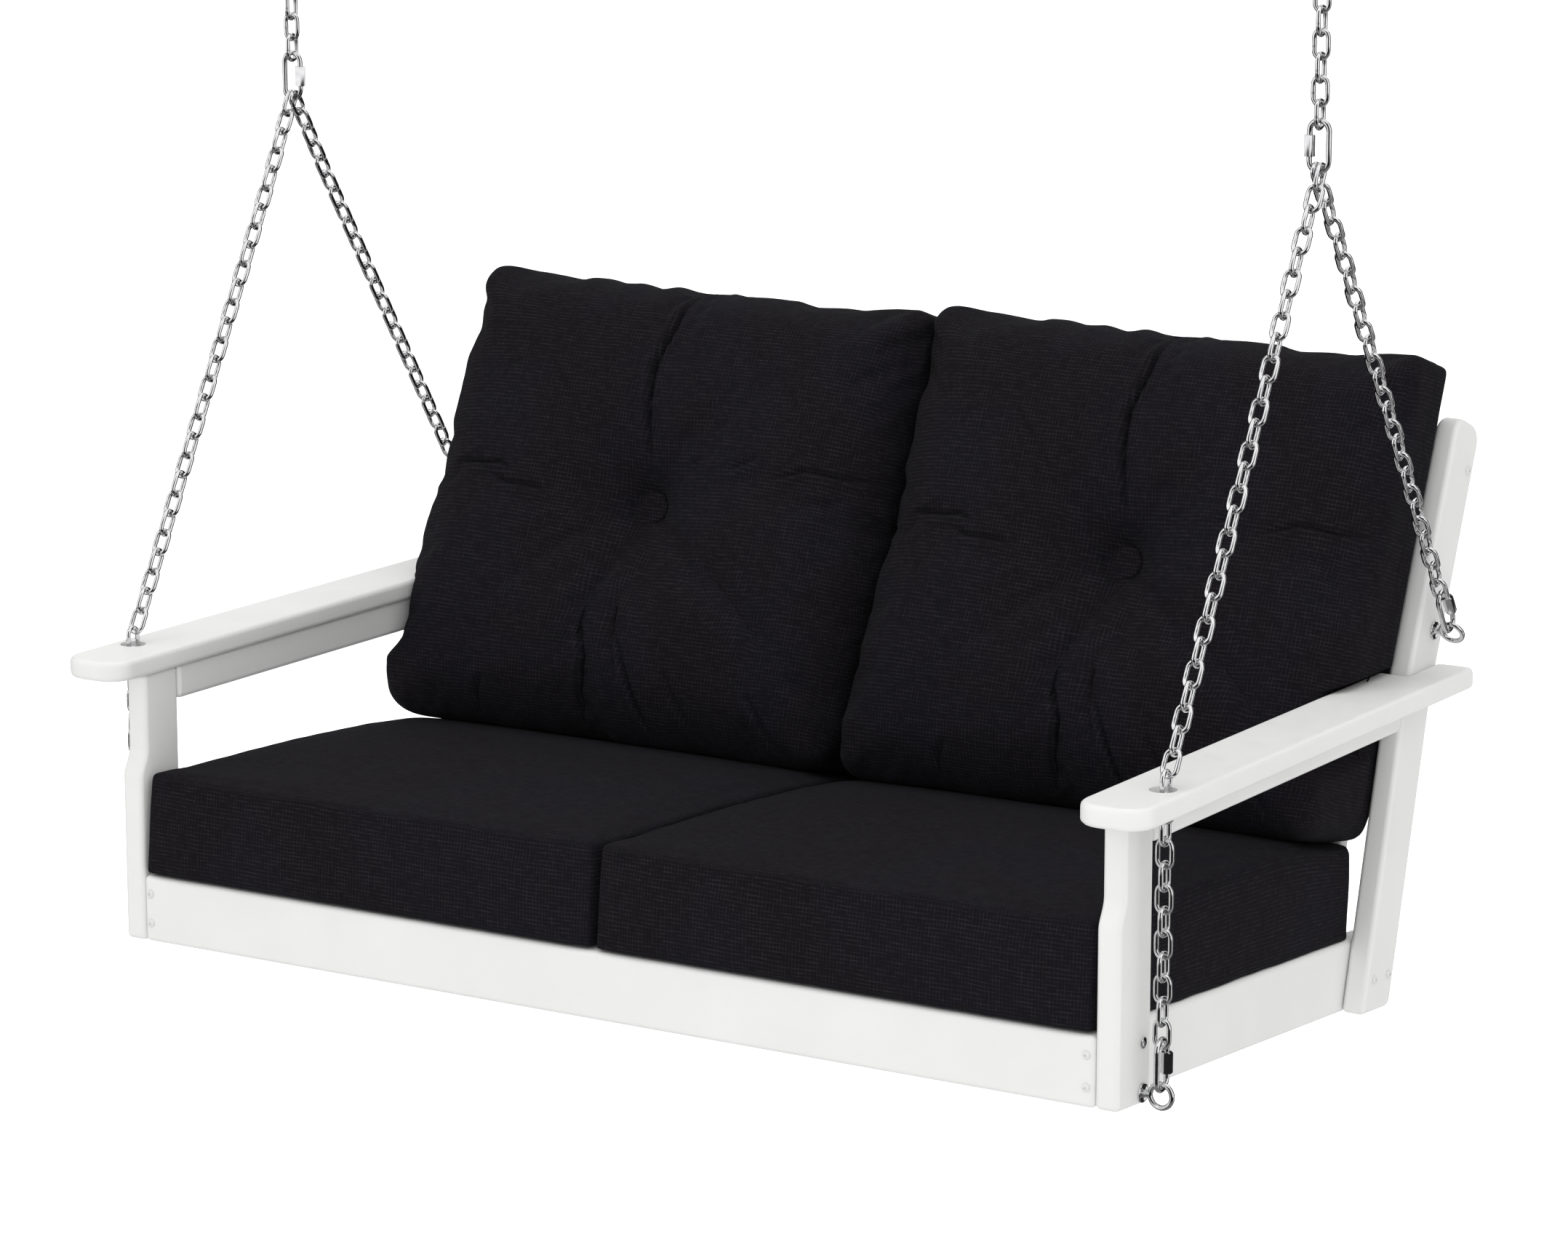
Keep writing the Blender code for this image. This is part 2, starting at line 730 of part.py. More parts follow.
def make_hardware(side, sign):
    """The two eye bolts of one side with their quick links, and the link at the bridle junction."""
    x = sign * CHAIN_X
    front_y = at_depth(FRONT_DROP_DEPTH)
    rear_y = at_depth(REAR_EYE_DEPTH)
    rear_tilt = bridle_angle(rear_y, REAR_EYE_Z)
    rail_inner = HALF_WIDTH - 2 * GAP - BOARD
    make_eye_bolt(f"front_{side}", sign, front_y, FRONT_EYE_Z, rail_inner, 0.0)
    make_eye_bolt(f"rear_{side}", sign, rear_y, REAR_EYE_Z, HALF_WIDTH, rear_tilt)

    inboard = 0.0 if sign > 0 else math.pi
    rearward = -math.pi / 2
    upper = (x, at_depth(JUNCTION_DEPTH), upper_link_z())
    make_quick_link(f"upper_{side}", upper, inboard, 0.0)
    offset = seated_link_offset()
    front = (x, front_y, FRONT_EYE_Z + offset)
    make_quick_link(f"front_{side}", front, rearward, 0.0)
    rear = (
        x,
        rear_y - offset * math.sin(rear_tilt),
        REAR_EYE_Z + offset * math.cos(rear_tilt),
    )
    make_quick_link(f"rear_{side}", rear, rearward, rear_tilt)


def make_hanger(side, sign):
    """A ceiling plate with two screw holes and a welded eye below it."""
    name = f"ceiling_hanger_{side}"
    wire = LINK_WIRE / 2
    eye_z = swing_axis_z() + HANGER_EYE_RADIUS
    thickness = HANGER_PLATE[2]
    plate_z = eye_z + HANGER_EYE_RADIUS + thickness / 2
    plate = add_object(name, box_mesh(name, HANGER_PLATE), POLISHED_STEEL)
    plate.location = (sign * CHAIN_X, at_depth(JUNCTION_DEPTH), plate_z)
    round_edges(plate, HANGER_EDGE_RADIUS, 1)
    eye_name = name + "_eye"
    eye_mesh = ring_mesh(eye_name, HANGER_EYE_RADIUS, wire)
    combine(plate, helper(eye_name, eye_mesh, plate, (0.0, 0.0, eye_z - plate_z)), "UNION")
    for label, direction in (("front", -1), ("rear", 1)):
        hole_name = f"{name}_hole_{label}"
        hole_mesh = cylinder_mesh(hole_name, HANGER_HOLE_RADIUS, thickness * 3, 12)
        place = (0.0, direction * HANGER_HOLE_SPACING / 2, 0.0)
        combine(plate, helper(hole_name, hole_mesh, plate, place), "DIFFERENCE")


def make_leg_screw(side, sign):
    """A button-head screw, turned as a profile about local Z."""
    name = f"leg_screw_{side}"
    steps = 4
    profile = []
    for step in range(steps + 1):
        angle = math.pi / 2 * (1 - step / steps)
        profile.append((SCREW_HEAD_RADIUS * math.cos(angle), SCREW_HEAD_HEIGHT * math.sin(angle)))
    profile.append((SCREW_SHANK_RADIUS, 0.0))
    profile.append((SCREW_SHANK_RADIUS, -SCREW_LENGTH))
    profile.append((0.0, -SCREW_LENGTH))
    mesh = bpy.data.meshes.new(name)
    bm = bmesh.new()
    verts = [bm.verts.new((radius, 0.0, height)) for radius, height in profile]
    for first, second in zip(verts, verts[1:]):
        bm.edges.new((first, second))
    bm.to_mesh(mesh)
    bm.free()
    screw = add_object(name, mesh, POLISHED_STEEL)
    turn = screw.modifiers.new("turned", "SCREW")
    turn.steps = 12
    turn.render_steps = 12
    turn.use_merge_vertices = True
    turn.merge_threshold = 0.00001
    turn.use_smooth_shade = True
    face = HALF_WIDTH + BOARD + GAP
    screw.location = (sign * face, at_depth(SCREW_DEPTH), SCREW_Z)
    screw.rotation_euler = (0.0, sign * math.pi / 2, 0.0)


def drill_side(side, sign, leg, post, rail):
    """Clearance holes for the eye bolts and the leg screw."""
    front_y = at_depth(FRONT_DROP_DEPTH)
    middle = sign * HALF_WIDTH
    through = 4 * BOARD
    drill_along_x(
        leg, f"leg_hole_{side}", middle, front_y, FRONT_EYE_Z, SHANK_HOLE_RADIUS, through
    )
    drill_along_x(
        rail, f"rail_hole_{side}", middle, front_y, FRONT_EYE_Z, SHANK_HOLE_RADIUS, through
    )
    rear_y = at_depth(REAR_EYE_DEPTH)
    drill_along_x(
        post, f"post_hole_{side}", middle, rear_y, REAR_EYE_Z, SHANK_HOLE_RADIUS, through
    )
    screw_y = at_depth(SCREW_DEPTH)
    radius = SCREW_SHANK_RADIUS + GAP
    depth = SCREW_LENGTH + GAP
    x = sign * (HALF_WIDTH + BOARD + GAP - depth / 2 + GAP)
    drill_along_x(leg, f"leg_screw_hole_{side}", x, screw_y, SCREW_Z, radius, depth)
    drill_along_x(rail, f"rail_screw_hole_{side}", x, screw_y, SCREW_Z, radius, depth)


def build_swing():
    deck = make_empty("deck_frame", (0.0, at_depth(0), 0.0), (-RAKE, 0.0, 0.0))
    back = make_empty("back_frame", (0.0, at_depth(BACK_PLANE), 0.0), (-BACK_LEAN, 0.0, 0.0))
    bpy.context.view_layer.update()
    make_deck(deck)
    make_back(back)
    profile = cross_profile()
    for side, sign in SIDES:
        leg = make_leg(side, sign)
        post = make_post(side, sign)
        make_arm_rail(side, sign)
        make_armrest(side, sign)
        rail = make_side_rail(side, sign, deck)
        drill_side(side, sign, leg, post, rail)
        make_leg_screw(side, sign)
        make_hardware(side, sign)
        make_chains(side, sign, profile)
        make_hanger(side, sign)
        make_seat_cushion(side, sign, deck)
        make_back_cushion(side, sign, back)
    for obj in SWING.objects:
        if obj.type == "MESH":
            smooth_round_faces(obj)


build_swing()
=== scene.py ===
"""Looks of the hanging porch swing: white boards, polished chain and four dark woven cushions.

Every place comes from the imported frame. Metres, +Z up, -Y is the open front of the seat.
"""

import json
import math

import bmesh
import bpy
import numpy as np
from mathutils import Matrix, Vector, noise
from mathutils.bvhtree import BVHTree


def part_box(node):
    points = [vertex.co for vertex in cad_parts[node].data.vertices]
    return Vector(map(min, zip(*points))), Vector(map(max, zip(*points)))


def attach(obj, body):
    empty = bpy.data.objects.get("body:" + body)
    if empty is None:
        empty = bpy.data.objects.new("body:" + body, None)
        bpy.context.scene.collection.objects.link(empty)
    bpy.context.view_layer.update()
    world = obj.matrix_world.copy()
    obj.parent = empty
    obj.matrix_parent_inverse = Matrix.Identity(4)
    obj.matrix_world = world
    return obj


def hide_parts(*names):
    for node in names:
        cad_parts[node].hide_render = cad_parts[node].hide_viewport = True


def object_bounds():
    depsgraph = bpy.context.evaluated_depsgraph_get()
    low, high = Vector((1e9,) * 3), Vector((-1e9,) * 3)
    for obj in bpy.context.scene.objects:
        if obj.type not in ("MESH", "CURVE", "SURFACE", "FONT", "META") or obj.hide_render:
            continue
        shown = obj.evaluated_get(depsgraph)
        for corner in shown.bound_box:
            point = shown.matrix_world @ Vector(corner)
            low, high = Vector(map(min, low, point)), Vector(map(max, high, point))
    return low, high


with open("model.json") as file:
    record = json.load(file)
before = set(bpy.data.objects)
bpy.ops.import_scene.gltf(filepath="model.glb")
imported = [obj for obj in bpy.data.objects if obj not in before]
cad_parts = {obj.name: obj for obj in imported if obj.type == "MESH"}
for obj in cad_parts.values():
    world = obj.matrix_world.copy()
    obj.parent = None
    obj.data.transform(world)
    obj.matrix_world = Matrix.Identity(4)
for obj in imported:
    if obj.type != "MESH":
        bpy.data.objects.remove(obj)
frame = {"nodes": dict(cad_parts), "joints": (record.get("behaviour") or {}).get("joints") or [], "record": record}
CAD_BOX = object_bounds()

SIDES = (("left", -1), ("right", 1))
JOINTS = {joint["name"]: joint for joint in frame["joints"]}
X_AXIS = Vector((1, 0, 0))
Y_AXIS = Vector((0, 1, 0))
Z_AXIS = Vector((0, 0, 1))

# Chain and fittings
CHAIN_WIRE = 0.0056
CHAIN_HALF_WIDTH = 0.0085
UPPER_LINKS = 25
FRONT_LINKS = 40
REAR_LINKS = 26
JUNCTION_SPREAD = 0.0031
SPREAD_LINKS = 4
QUICK_WIRE = 0.0065
QUICK_HALF_WIDTH = 0.01175
QUICK_HALF_LENGTH = 0.02825
QUICK_OPENING = 0.010
SLEEVE_ACROSS = 0.012
SLEEVE_LENGTH = 0.024
EYE_RADIUS = 0.01335
EYE_WIRE = 0.0063
SHANK_RADIUS = 0.0039
THREAD_PITCH = 0.00125
NUT_ACROSS = 0.013
HANGER_RADIUS = 0.015
RING_STEPS = 48
WIRE_SIDES = 14

# Cushions
FRONT_OVERHANG = 0.019
COVER_LOOSENESS = 0.002
CORD_RADIUS = 0.0011
BACK_THICKNESS = ((0.12, 0.196), (0.20, 0.216), (0.30, 0.210), (0.44, 0.186), (0.60, 0.159),
                  (0.70, 0.134), (0.76, 0.110))
BACK_BOTTOM = 0.128
BACK_TOP = 0.733
POST_LEAN = 22.1
BUTTON_HEIGHT = 0.4386
BUTTON_RADIUS = 0.021
TUFT_DEPTH = 0.024
SLUMP_LOW_DOWN = 0.016
BULGE_OVER_ARM = 0.026

# Studio
FLOOR_DROP = 0.38


# ---------------------------------------------------------------- materials

def feed(tree, socket, value):
    """Links another node's output to a socket, or sets the socket's own value."""
    if isinstance(value, bpy.types.NodeSocket):
        tree.links.new(value, socket)
    else:
        socket.default_value = value


def add_node(tree, kind, inputs=None, **settings):
    node = tree.nodes.new(kind)
    for name, value in settings.items():
        setattr(node, name, value)
    for name, value in (inputs or {}).items():
        feed(tree, node.inputs[name], value)
    return node


def connect(tree, shader, **surface):
    for socket, value in surface.items():
        feed(tree, shader.inputs[socket.replace("_", " ")], value)


def new_material(name, **surface):
    material = bpy.data.materials.new(name)
    material.use_nodes = True
    tree = material.node_tree
    shader = tree.nodes["Principled BSDF"]
    connect(tree, shader, **surface)
    return material, tree, shader


def place_in(tree):
    return add_node(tree, "ShaderNodeTexCoord").outputs["Object"]


def noise_field(tree, vector, scale, detail=2.0, roughness=0.5):
    inputs = {"Vector": vector, "Scale": scale, "Detail": detail, "Roughness": roughness}
    return add_node(tree, "ShaderNodeTexNoise", inputs).outputs["Fac"]


def remap(tree, value, low, high, to_low, to_high):
    inputs = {"Value": value, "From Min": low, "From Max": high, "To Min": to_low, "To Max": to_high}
    return add_node(tree, "ShaderNodeMapRange", inputs).outputs["Result"]


def arithmetic(tree, operation, first, second):
    node = add_node(tree, "ShaderNodeMath", operation=operation)
    feed(tree, node.inputs[0], first)
    feed(tree, node.inputs[1], second)
    return node.outputs[0]


def stretched(tree, vector, scale):
    return add_node(tree, "ShaderNodeMapping", {"Vector": vector, "Scale": scale}).outputs["Vector"]


def blend_values(tree, factor, first, second):
    node = add_node(tree, "ShaderNodeMix", data_type="FLOAT")
    for index, value in ((0, factor), (2, first), (3, second)):
        feed(tree, node.inputs[index], value)
    return node.outputs[0]


def blend_colours(tree, factor, first, second):
    node = add_node(tree, "ShaderNodeMix", data_type="RGBA")
    for index, value in ((0, factor), (6, first), (7, second)):
        feed(tree, node.inputs[index], (*value, 1.0) if isinstance(value, tuple) else value)
    return node.outputs[2]


def bump(tree, height, strength, distance):
    inputs = {"Height": height, "Strength": strength, "Distance": distance}
    return add_node(tree, "ShaderNodeBump", inputs).outputs["Normal"]


def board_material():
    """Solid white plastic lumber: faint flow mottling, an orange-peel skin and uneven gloss."""
    material, tree, shader = new_material("white_board", IOR=1.49)
    place = place_in(tree)
    mottle = noise_field(tree, place, 9.0, 4.0)
    patches = remap(tree, mottle, 0.3, 0.7, 0, 1)
    colour = blend_colours(tree, patches, (0.79, 0.79, 0.78), (0.82, 0.82, 0.812))
    gloss = remap(tree, noise_field(tree, place, 55.0, 3.0), 0.25, 0.75, 0.40, 0.52)
    skin = noise_field(tree, place, 420.0, 3.0, 0.6)
    swell = noise_field(tree, place, 45.0, 1.0)
    height = arithmetic(tree, "ADD", skin, arithmetic(tree, "MULTIPLY", swell, 2.0))
    normal = bump(tree, height, 0.22, 0.0004)
    connect(tree, shader, Base_Color=colour, Roughness=gloss, Normal=normal)
    return material


def steel_material(name, low, high, tint):
    """Polished steel whose gloss is broken by fine wiping marks and faint pitting."""
    material, tree, shader = new_material(name, Metallic=1.0)
    place = place_in(tree)
    film = noise_field(tree, place, 160.0, 4.0)
    dark = tuple(0.80 * channel for channel in tint)
    colour = blend_colours(tree, remap(tree, film, 0.35, 0.75, 0, 1), tint, dark)
    wiping = noise_field(tree, stretched(tree, place, (900, 900, 120)), 1.0, 3.0)
    gloss = remap(tree, wiping, 0.3, 0.7, low, high)
    normal = bump(tree, wiping, 0.04, 0.0001)
    connect(tree, shader, Base_Color=colour, Roughness=gloss, Normal=normal)
    return material


def slub_lines(tree, across, along, pitch, seed):
    """Thicker threads a few millimetres apart: nearly straight, and paler in places."""
    place = add_node(tree, "ShaderNodeCombineXYZ", {"X": across, "Y": along, "Z": seed}).outputs["Vector"]
    wander = noise_field(tree, stretched(tree, place, (30, 9, 1)), 1.0, 1.0)
    drift = arithmetic(tree, "MULTIPLY", wander, 1.5)
    phase = arithmetic(tree, "ADD", arithmetic(tree, "DIVIDE", across, pitch), drift)
    centred = arithmetic(tree, "SUBTRACT", arithmetic(tree, "FRACT", phase, 0.0), 0.5)
    line = remap(tree, arithmetic(tree, "ABSOLUTE", centred, 0.0), 0.07, 0.23, 1.0, 0.0)
    thread = arithmetic(tree, "MULTIPLY", arithmetic(tree, "FLOOR", phase, 0.0), 3.7)
    run = arithmetic(tree, "MULTIPLY", along, 60.0)
    own = add_node(tree, "ShaderNodeCombineXYZ", {"X": thread, "Y": run, "Z": seed}).outputs["Vector"]
    strength = remap(tree, noise_field(tree, own, 1.0, 3.0), 0.38, 0.66, 0.08, 1.0)
    return arithmetic(tree, "MULTIPLY", line, strength)


def threads(tree, weave, direction, pitch):
    wave = add_node(
        tree, "ShaderNodeTexWave",
        {"Vector": weave, "Scale": 1 / pitch / math.pi, "Distortion": 0.6, "Detail": 1.0},
        wave_type="BANDS", bands_direction=direction,
    )
    return wave.outputs["Fac"]


def fabric_material(name):
    """Near-black slub weave: a fine plain weave crossed by irregular lighter threads."""
    material, tree, shader = new_material(
        name, Roughness=0.95, Specular_IOR_Level=0.03, Sheen_Weight=0.01, Sheen_Roughness=0.5
    )
    weave = add_node(tree, "ShaderNodeUVMap", uv_map="weave").outputs["UV"]
    place = place_in(tree)
    axes = add_node(tree, "ShaderNodeSeparateXYZ", {"Vector": weave})
    warp = slub_lines(tree, axes.outputs["X"], axes.outputs["Y"], 0.0044, 3.0)
    weft = slub_lines(tree, axes.outputs["Y"], axes.outputs["X"], 0.0047, 8.0)
    warp = arithmetic(tree, "MULTIPLY", warp, 0.45)
    grid = arithmetic(tree, "ADD", warp, arithmetic(tree, "MULTIPLY", weft, 0.65))
    fine = arithmetic(tree, "MULTIPLY", *(threads(tree, weave, axis, 0.0011) for axis in "XY"))
    fibre = noise_field(tree, weave, 900.0, 2.0)
    cloud = noise_field(tree, place, 7.0, 3.0)
    tint = remap(tree, cloud, 0.35, 0.65, 0, 1)
    base = blend_colours(tree, tint, (0.0072, 0.0062, 0.0072), (0.0076, 0.0070, 0.0098))
    lit = blend_colours(tree, grid, base, (0.0262, 0.0240, 0.0272))
    speckle = remap(tree, arithmetic(tree, "MULTIPLY", fine, fibre), 0.05, 0.55, 0.0, 0.45)
    colour = blend_colours(tree, speckle, lit, (0.015, 0.0138, 0.0168))
    height = arithmetic(tree, "ADD", arithmetic(tree, "MULTIPLY", fine, 0.5), grid)
    connect(tree, shader, Base_Color=colour, Normal=bump(tree, height, 0.5, 0.0004))
    return material


def thread_material():
    """The twisted sewing cord of the seams."""
    material, tree, shader = new_material("seam_cord", Roughness=0.85, Specular_IOR_Level=0.2)
    place = place_in(tree)
    twist = add_node(
        tree, "ShaderNodeTexWave", {"Vector": place, "Scale": 260.0, "Distortion": 1.5},
        bands_direction="DIAGONAL",
    ).outputs["Fac"]
    colour = blend_colours(tree, twist, (0.003, 0.0027, 0.0034), (0.009, 0.0082, 0.0098))
    connect(tree, shader, Base_Color=colour, Normal=bump(tree, twist, 0.5, 0.0003))
    return material


def painted_screw_material():
    material, tree, shader = new_material("painted_screw", Metallic=0.0)
    place = place_in(tree)
    chips = noise_field(tree, place, 500.0, 3.0)
    worn = remap(tree, chips, 0.4, 0.8, 0, 1)
    colour = blend_colours(tree, worn, (0.78, 0.78, 0.77), (0.62, 0.62, 0.61))
    connect(tree, shader, Base_Color=colour, Roughness=remap(tree, chips, 0.3, 0.7, 0.25, 0.4))
    return material


BOARD = board_material()
CHAIN_STEEL = steel_material("chain_steel", 0.03, 0.10, (0.78, 0.78, 0.79))
FITTING_STEEL = steel_material("fitting_steel", 0.04, 0.12, (0.74, 0.74, 0.75))
FABRIC = fabric_material("cushion_fabric")
CORD = thread_material()
PAINTED_SCREW = painted_screw_material()


# ---------------------------------------------------------------- mesh helpers

def show(thing):
    bpy.context.scene.collection.objects.link(thing)


def make_piece(name, bm, material, matrix=None):
    mesh = bpy.data.meshes.new(name)
    bm.to_mesh(mesh)
    bm.free()
    mesh.materials.append(material)
    piece = bpy.data.objects.new(name, mesh)
    if matrix is not None:
        piece.matrix_world = matrix
    show(piece)
    return piece


def shade(piece, angle=35):
    piece.data.shade_smooth()
    piece.data.set_sharp_from_angle(angle=math.radians(angle))


def hand_over(piece, angle, body, node=None):
    """Shades a finished piece, gives it to its body and puts it in its CAD node's place."""
    shade(piece, angle)
    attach(piece, body)
    if node:
        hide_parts(node)


def apply_modifiers(piece):
    bpy.context.view_layer.update()
    evaluated = piece.evaluated_get(bpy.context.evaluated_depsgraph_get())
    mesh = bpy.data.meshes.new_from_object(evaluated)
    old = piece.data
    piece.modifiers.clear()
    piece.data = mesh
    bpy.data.meshes.remove(old)


def combine(piece, other, operation):
    """Adds another solid to a piece, or cuts it away, and takes it out of the scene."""
    change = piece.modifiers.new("combine", "BOOLEAN")
    change.operation = operation
    change.object = other
    apply_modifiers(piece)
    bpy.data.objects.remove(other)


def sweep(bm, points, normal, radii, sides, closed):
    """A tube round a path that stays in the plane with this normal."""
    count = len(points)
    rings = []
    for index, point in enumerate(points):
        before = points[index - 1] if closed or index else point
        after = points[(index + 1) % count] if closed or index < count - 1 else point
        across = (after - before).normalized().cross(normal)
        ring = []
        for side in range(sides):
            angle = 2 * math.pi * side / sides
            spoke = across * math.cos(angle) + normal * math.sin(angle)
            ring.append(bm.verts.new(point + spoke * radii[index]))
        rings.append(ring)
    pairs = list(zip(rings, rings[1:]))
    if closed:
        pairs.append((rings[-1], rings[0]))
    for first, second in pairs:
        for side in range(sides):
            following = (side + 1) % sides
            bm.faces.new((first[side], second[side], second[following], first[following]))
    if not closed:
        bm.faces.new(rings[0])
        bm.faces.new(list(reversed(rings[-1])))


def oval(half_width, half_length, steps, opening=0.0):
    """Centre line of an oval link in the XZ plane, from the middle of its -X side and round."""
    straight = half_length - half_width
    upper = [
        (-half_width, opening / 2 + level * (straight - opening / 2)) for level in (0, 0.33, 0.67)
    ]
    for step in range(steps + 1):
        angle = math.pi * (1 - step / steps)
        upper.append((half_width * math.cos(angle), straight + half_width * math.sin(angle)))
    lower = [(x, -z) for x, z in reversed(upper)]
    outline = upper + [(half_width, 0)] + (lower if opening else lower[:-1])
    return [Vector((x, 0, z)) for x, z in outline]


def turned(profile, segments):
    """A solid of revolution about Z from (radius, height) points that start and end on the axis."""
    bm = bmesh.new()
    verts = [bm.verts.new((radius, 0, height)) for radius, height in profile]
    edges = [bm.edges.new(pair) for pair in zip(verts, verts[1:])]
    bmesh.ops.spin(
        bm, geom=verts + edges, cent=(0, 0, 0), axis=(0, 0, 1), angle=2 * math.pi,
        steps=segments, use_merge=True,
    )
    bmesh.ops.remove_doubles(bm, verts=bm.verts, dist=1e-6)
    bmesh.ops.recalc_face_normals(bm, faces=bm.faces)
    return bm


def hexagon(across, length, chamfer, bore):
    """A chamfered hexagon bar along Z with a round bore, as rings of six and of twenty-four."""
    corner = across / math.sqrt(3)
    per_flat = 4
    sides = 6 * per_flat
    bm = bmesh.new()

    def ring(radius_at, height):
        verts = []
        for side in range(sides):
            angle = 2 * math.pi * side / sides
            radius = radius_at(angle)
            verts.append(bm.verts.new((radius * math.cos(angle), radius * math.sin(angle), height)))
        return verts

    def flat_radius(angle):
        return across / 2 / math.cos((angle % (math.pi / 3)) - math.pi / 6)

    half = length / 2
    top_radius = corner - chamfer
    rings = [
        ring(lambda angle: bore, -half),
        ring(lambda angle: min(top_radius, flat_radius(angle)), -half),
        ring(flat_radius, -half + chamfer * 0.6),
        ring(flat_radius, half - chamfer * 0.6),
        ring(lambda angle: min(top_radius, flat_radius(angle)), half),
        ring(lambda angle: bore, half),
    ]
    for first, second in zip(rings, rings[1:] + rings[:1]):
        for side in range(sides):
            following = (side + 1) % sides
            bm.faces.new((first[side], first[following], second[following], second[side]))
    bmesh.ops.recalc_face_normals(bm, faces=bm.faces)
    return bm


def centre_of(node):
    low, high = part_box(node)
    return (low + high) / 2


def outer_face(node, sign):
    """How far out to its side (sign -1 or 1) a node reaches."""
    low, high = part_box(node)
    return high.x if sign > 0 else low.x


def rotation_to(wide, normal, along, place):
    """The matrix that lays local X, Y and Z along three directions at a place."""
    matrix = Matrix((wide, normal, along)).transposed().to_4x4()
    matrix.translation = place
    return matrix


# ---------------------------------------------------------------- boards

def finish_board(node):
    """A smooth-shaded copy of a board, so that its rounded edges read as curves."""
    bm = bmesh.new()
    bm.from_mesh(frame["nodes"][node].data)
    bmesh.ops.remove_doubles(bm, verts=bm.verts, dist=1e-6)
    bmesh.ops.dissolve_limit(bm, angle_limit=math.radians(0.3), verts=bm.verts, edges=bm.edges)
    piece = make_piece(f"{node}_board", bm, BOARD)
    shade(piece, 50)
    weighted = piece.modifiers.new("even_shading", "WEIGHTED_NORMAL")
    weighted.keep_sharp = True
    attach(piece, "seat")
    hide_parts(node)


def board_nodes():
    material_of = {part["node"]: part["material_slot"] for part in frame["record"]["subparts"]}
    return [node for node, slot in material_of.items() if slot == "white_board"]


def screw_head(name, place, outward, radius, material, node=None):
    """A low button head with a hexagon socket; its short neck sits in the board."""
    height = radius * 0.48
    profile = [(0.0, height)]
    steps = 7
    for step in range(1, steps + 1):
        angle = math.pi / 2 * (1 - step / steps)
        profile.append((radius * math.cos(angle), 0.0006 + (height - 0.0006) * math.sin(angle)))
    profile += [(radius, 0.0), (radius * 0.38, 0.0), (radius * 0.38, -0.010), (0.0, -0.010)]
    head = make_piece(name, turned(profile, 32), material)
    socket = make_piece("socket_cutter", hexagon_prism(radius * 0.36, height * 1.3), material)
    socket.location.z = height * 1.05
    combine(head, socket, "DIFFERENCE")
    turn = outward.to_track_quat("Z", "Y").to_matrix().to_4x4()
    head.matrix_world = Matrix.Translation(place) @ turn
    hand_over(head, 35, "seat", node)


def hexagon_prism(radius, depth):
    bm = bmesh.new()
    bmesh.ops.create_cone(bm, cap_ends=True, segments=6, radius1=radius, radius2=radius, depth=depth)
    return bm


def make_screws():
    """Button heads on the legs, painted ones at the apron's ends and on the posts."""
    apron_low, apron_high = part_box("front_apron")
    for side, sign in SIDES:
        outward = X_AXIS * sign
        node = f"leg_screw_{side}"
        head = centre_of(node)
        head.x = outer_face(node, sign) - sign * 0.0036
        screw_head(f"leg_screw_head_{side}", head, outward, 0.0068, FITTING_STEEL, node)
        end = apron_high.x - 0.0098
        for index, height in enumerate((0.0235, 0.060)):
            place = Vector((sign * end, apron_low.y - 0.0002, apron_low.z + height))
            name = f"apron_screw_{side}_{index + 1}"
            screw_head(name, place, -Y_AXIS, 0.0050, PAINTED_SCREW)
        post_low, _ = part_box(f"back_post_{side}")
        face = outer_face(f"back_post_{side}", sign) + sign * 0.0002
        spots = ((0.0276, 0.0420), (0.0654, 0.0401), (0.2533, 0.6156))
        for index, (behind, above) in enumerate(spots):
            place = Vector((face, post_low.y + behind, post_low.z + above))
            name = f"post_screw_{side}_{index + 1}"
            screw_head(name, place, outward, 0.0052, PAINTED_SCREW)


# ---------------------------------------------------------------- chain and fittings

def add_link(bm, path, radii, matrix):
    points = [matrix @ point for point in path]
    normal = (matrix.to_3x3() @ Y_AXIS).normalized()
    sweep(bm, points, normal, radii, 10, True)


def link_path(pitch):
    half_length = (pitch + CHAIN_WIRE) / 2
    path = oval(CHAIN_HALF_WIDTH, half_length, 10)
    welded = [point.x < 0 and abs(point.z) < 0.002 for point in path]
    return path, [CHAIN_WIRE / 2 * (1.05 if weld else 1.0) for weld in welded]


def chain_run(name, points, count, body, node, spread=0.0):
    """Interlocked links hung along a bent line, each turned a quarter from the one before."""
    lengths = [(b - a).length for a, b in zip(points, points[1:])]
    pitch = (sum(lengths) - CHAIN_WIRE) / count
    path, radii = link_path(pitch)
    bm = bmesh.new()
    for index in range(count):
        distance = CHAIN_WIRE / 2 + pitch * (index + 0.5)
        leg = 0
        while leg < len(lengths) - 1 and distance > lengths[leg]:
            distance -= lengths[leg]
            leg += 1
        along = (points[leg + 1] - points[leg]).normalized()
        centre = points[leg] + along * distance
        centre = centre + X_AXIS * spread * max(0.0, 1 - index / SPREAD_LINKS)
        wide = X_AXIS if index % 2 else along.cross(X_AXIS)
        add_link(bm, path, radii, rotation_to(wide, along.cross(wide), along, centre))
    piece = make_piece(name, bm, CHAIN_STEEL)
    hand_over(piece, 60, body, node)


def hook_gap():
    """Between the centre lines of two wires that hang on each other."""
    return (QUICK_WIRE + CHAIN_WIRE) / 2


def eye_centre(node, sign):
    centre = centre_of(node)
    centre.x = outer_face(node, sign) - sign * (EYE_RADIUS + EYE_WIRE / 2)
    return centre


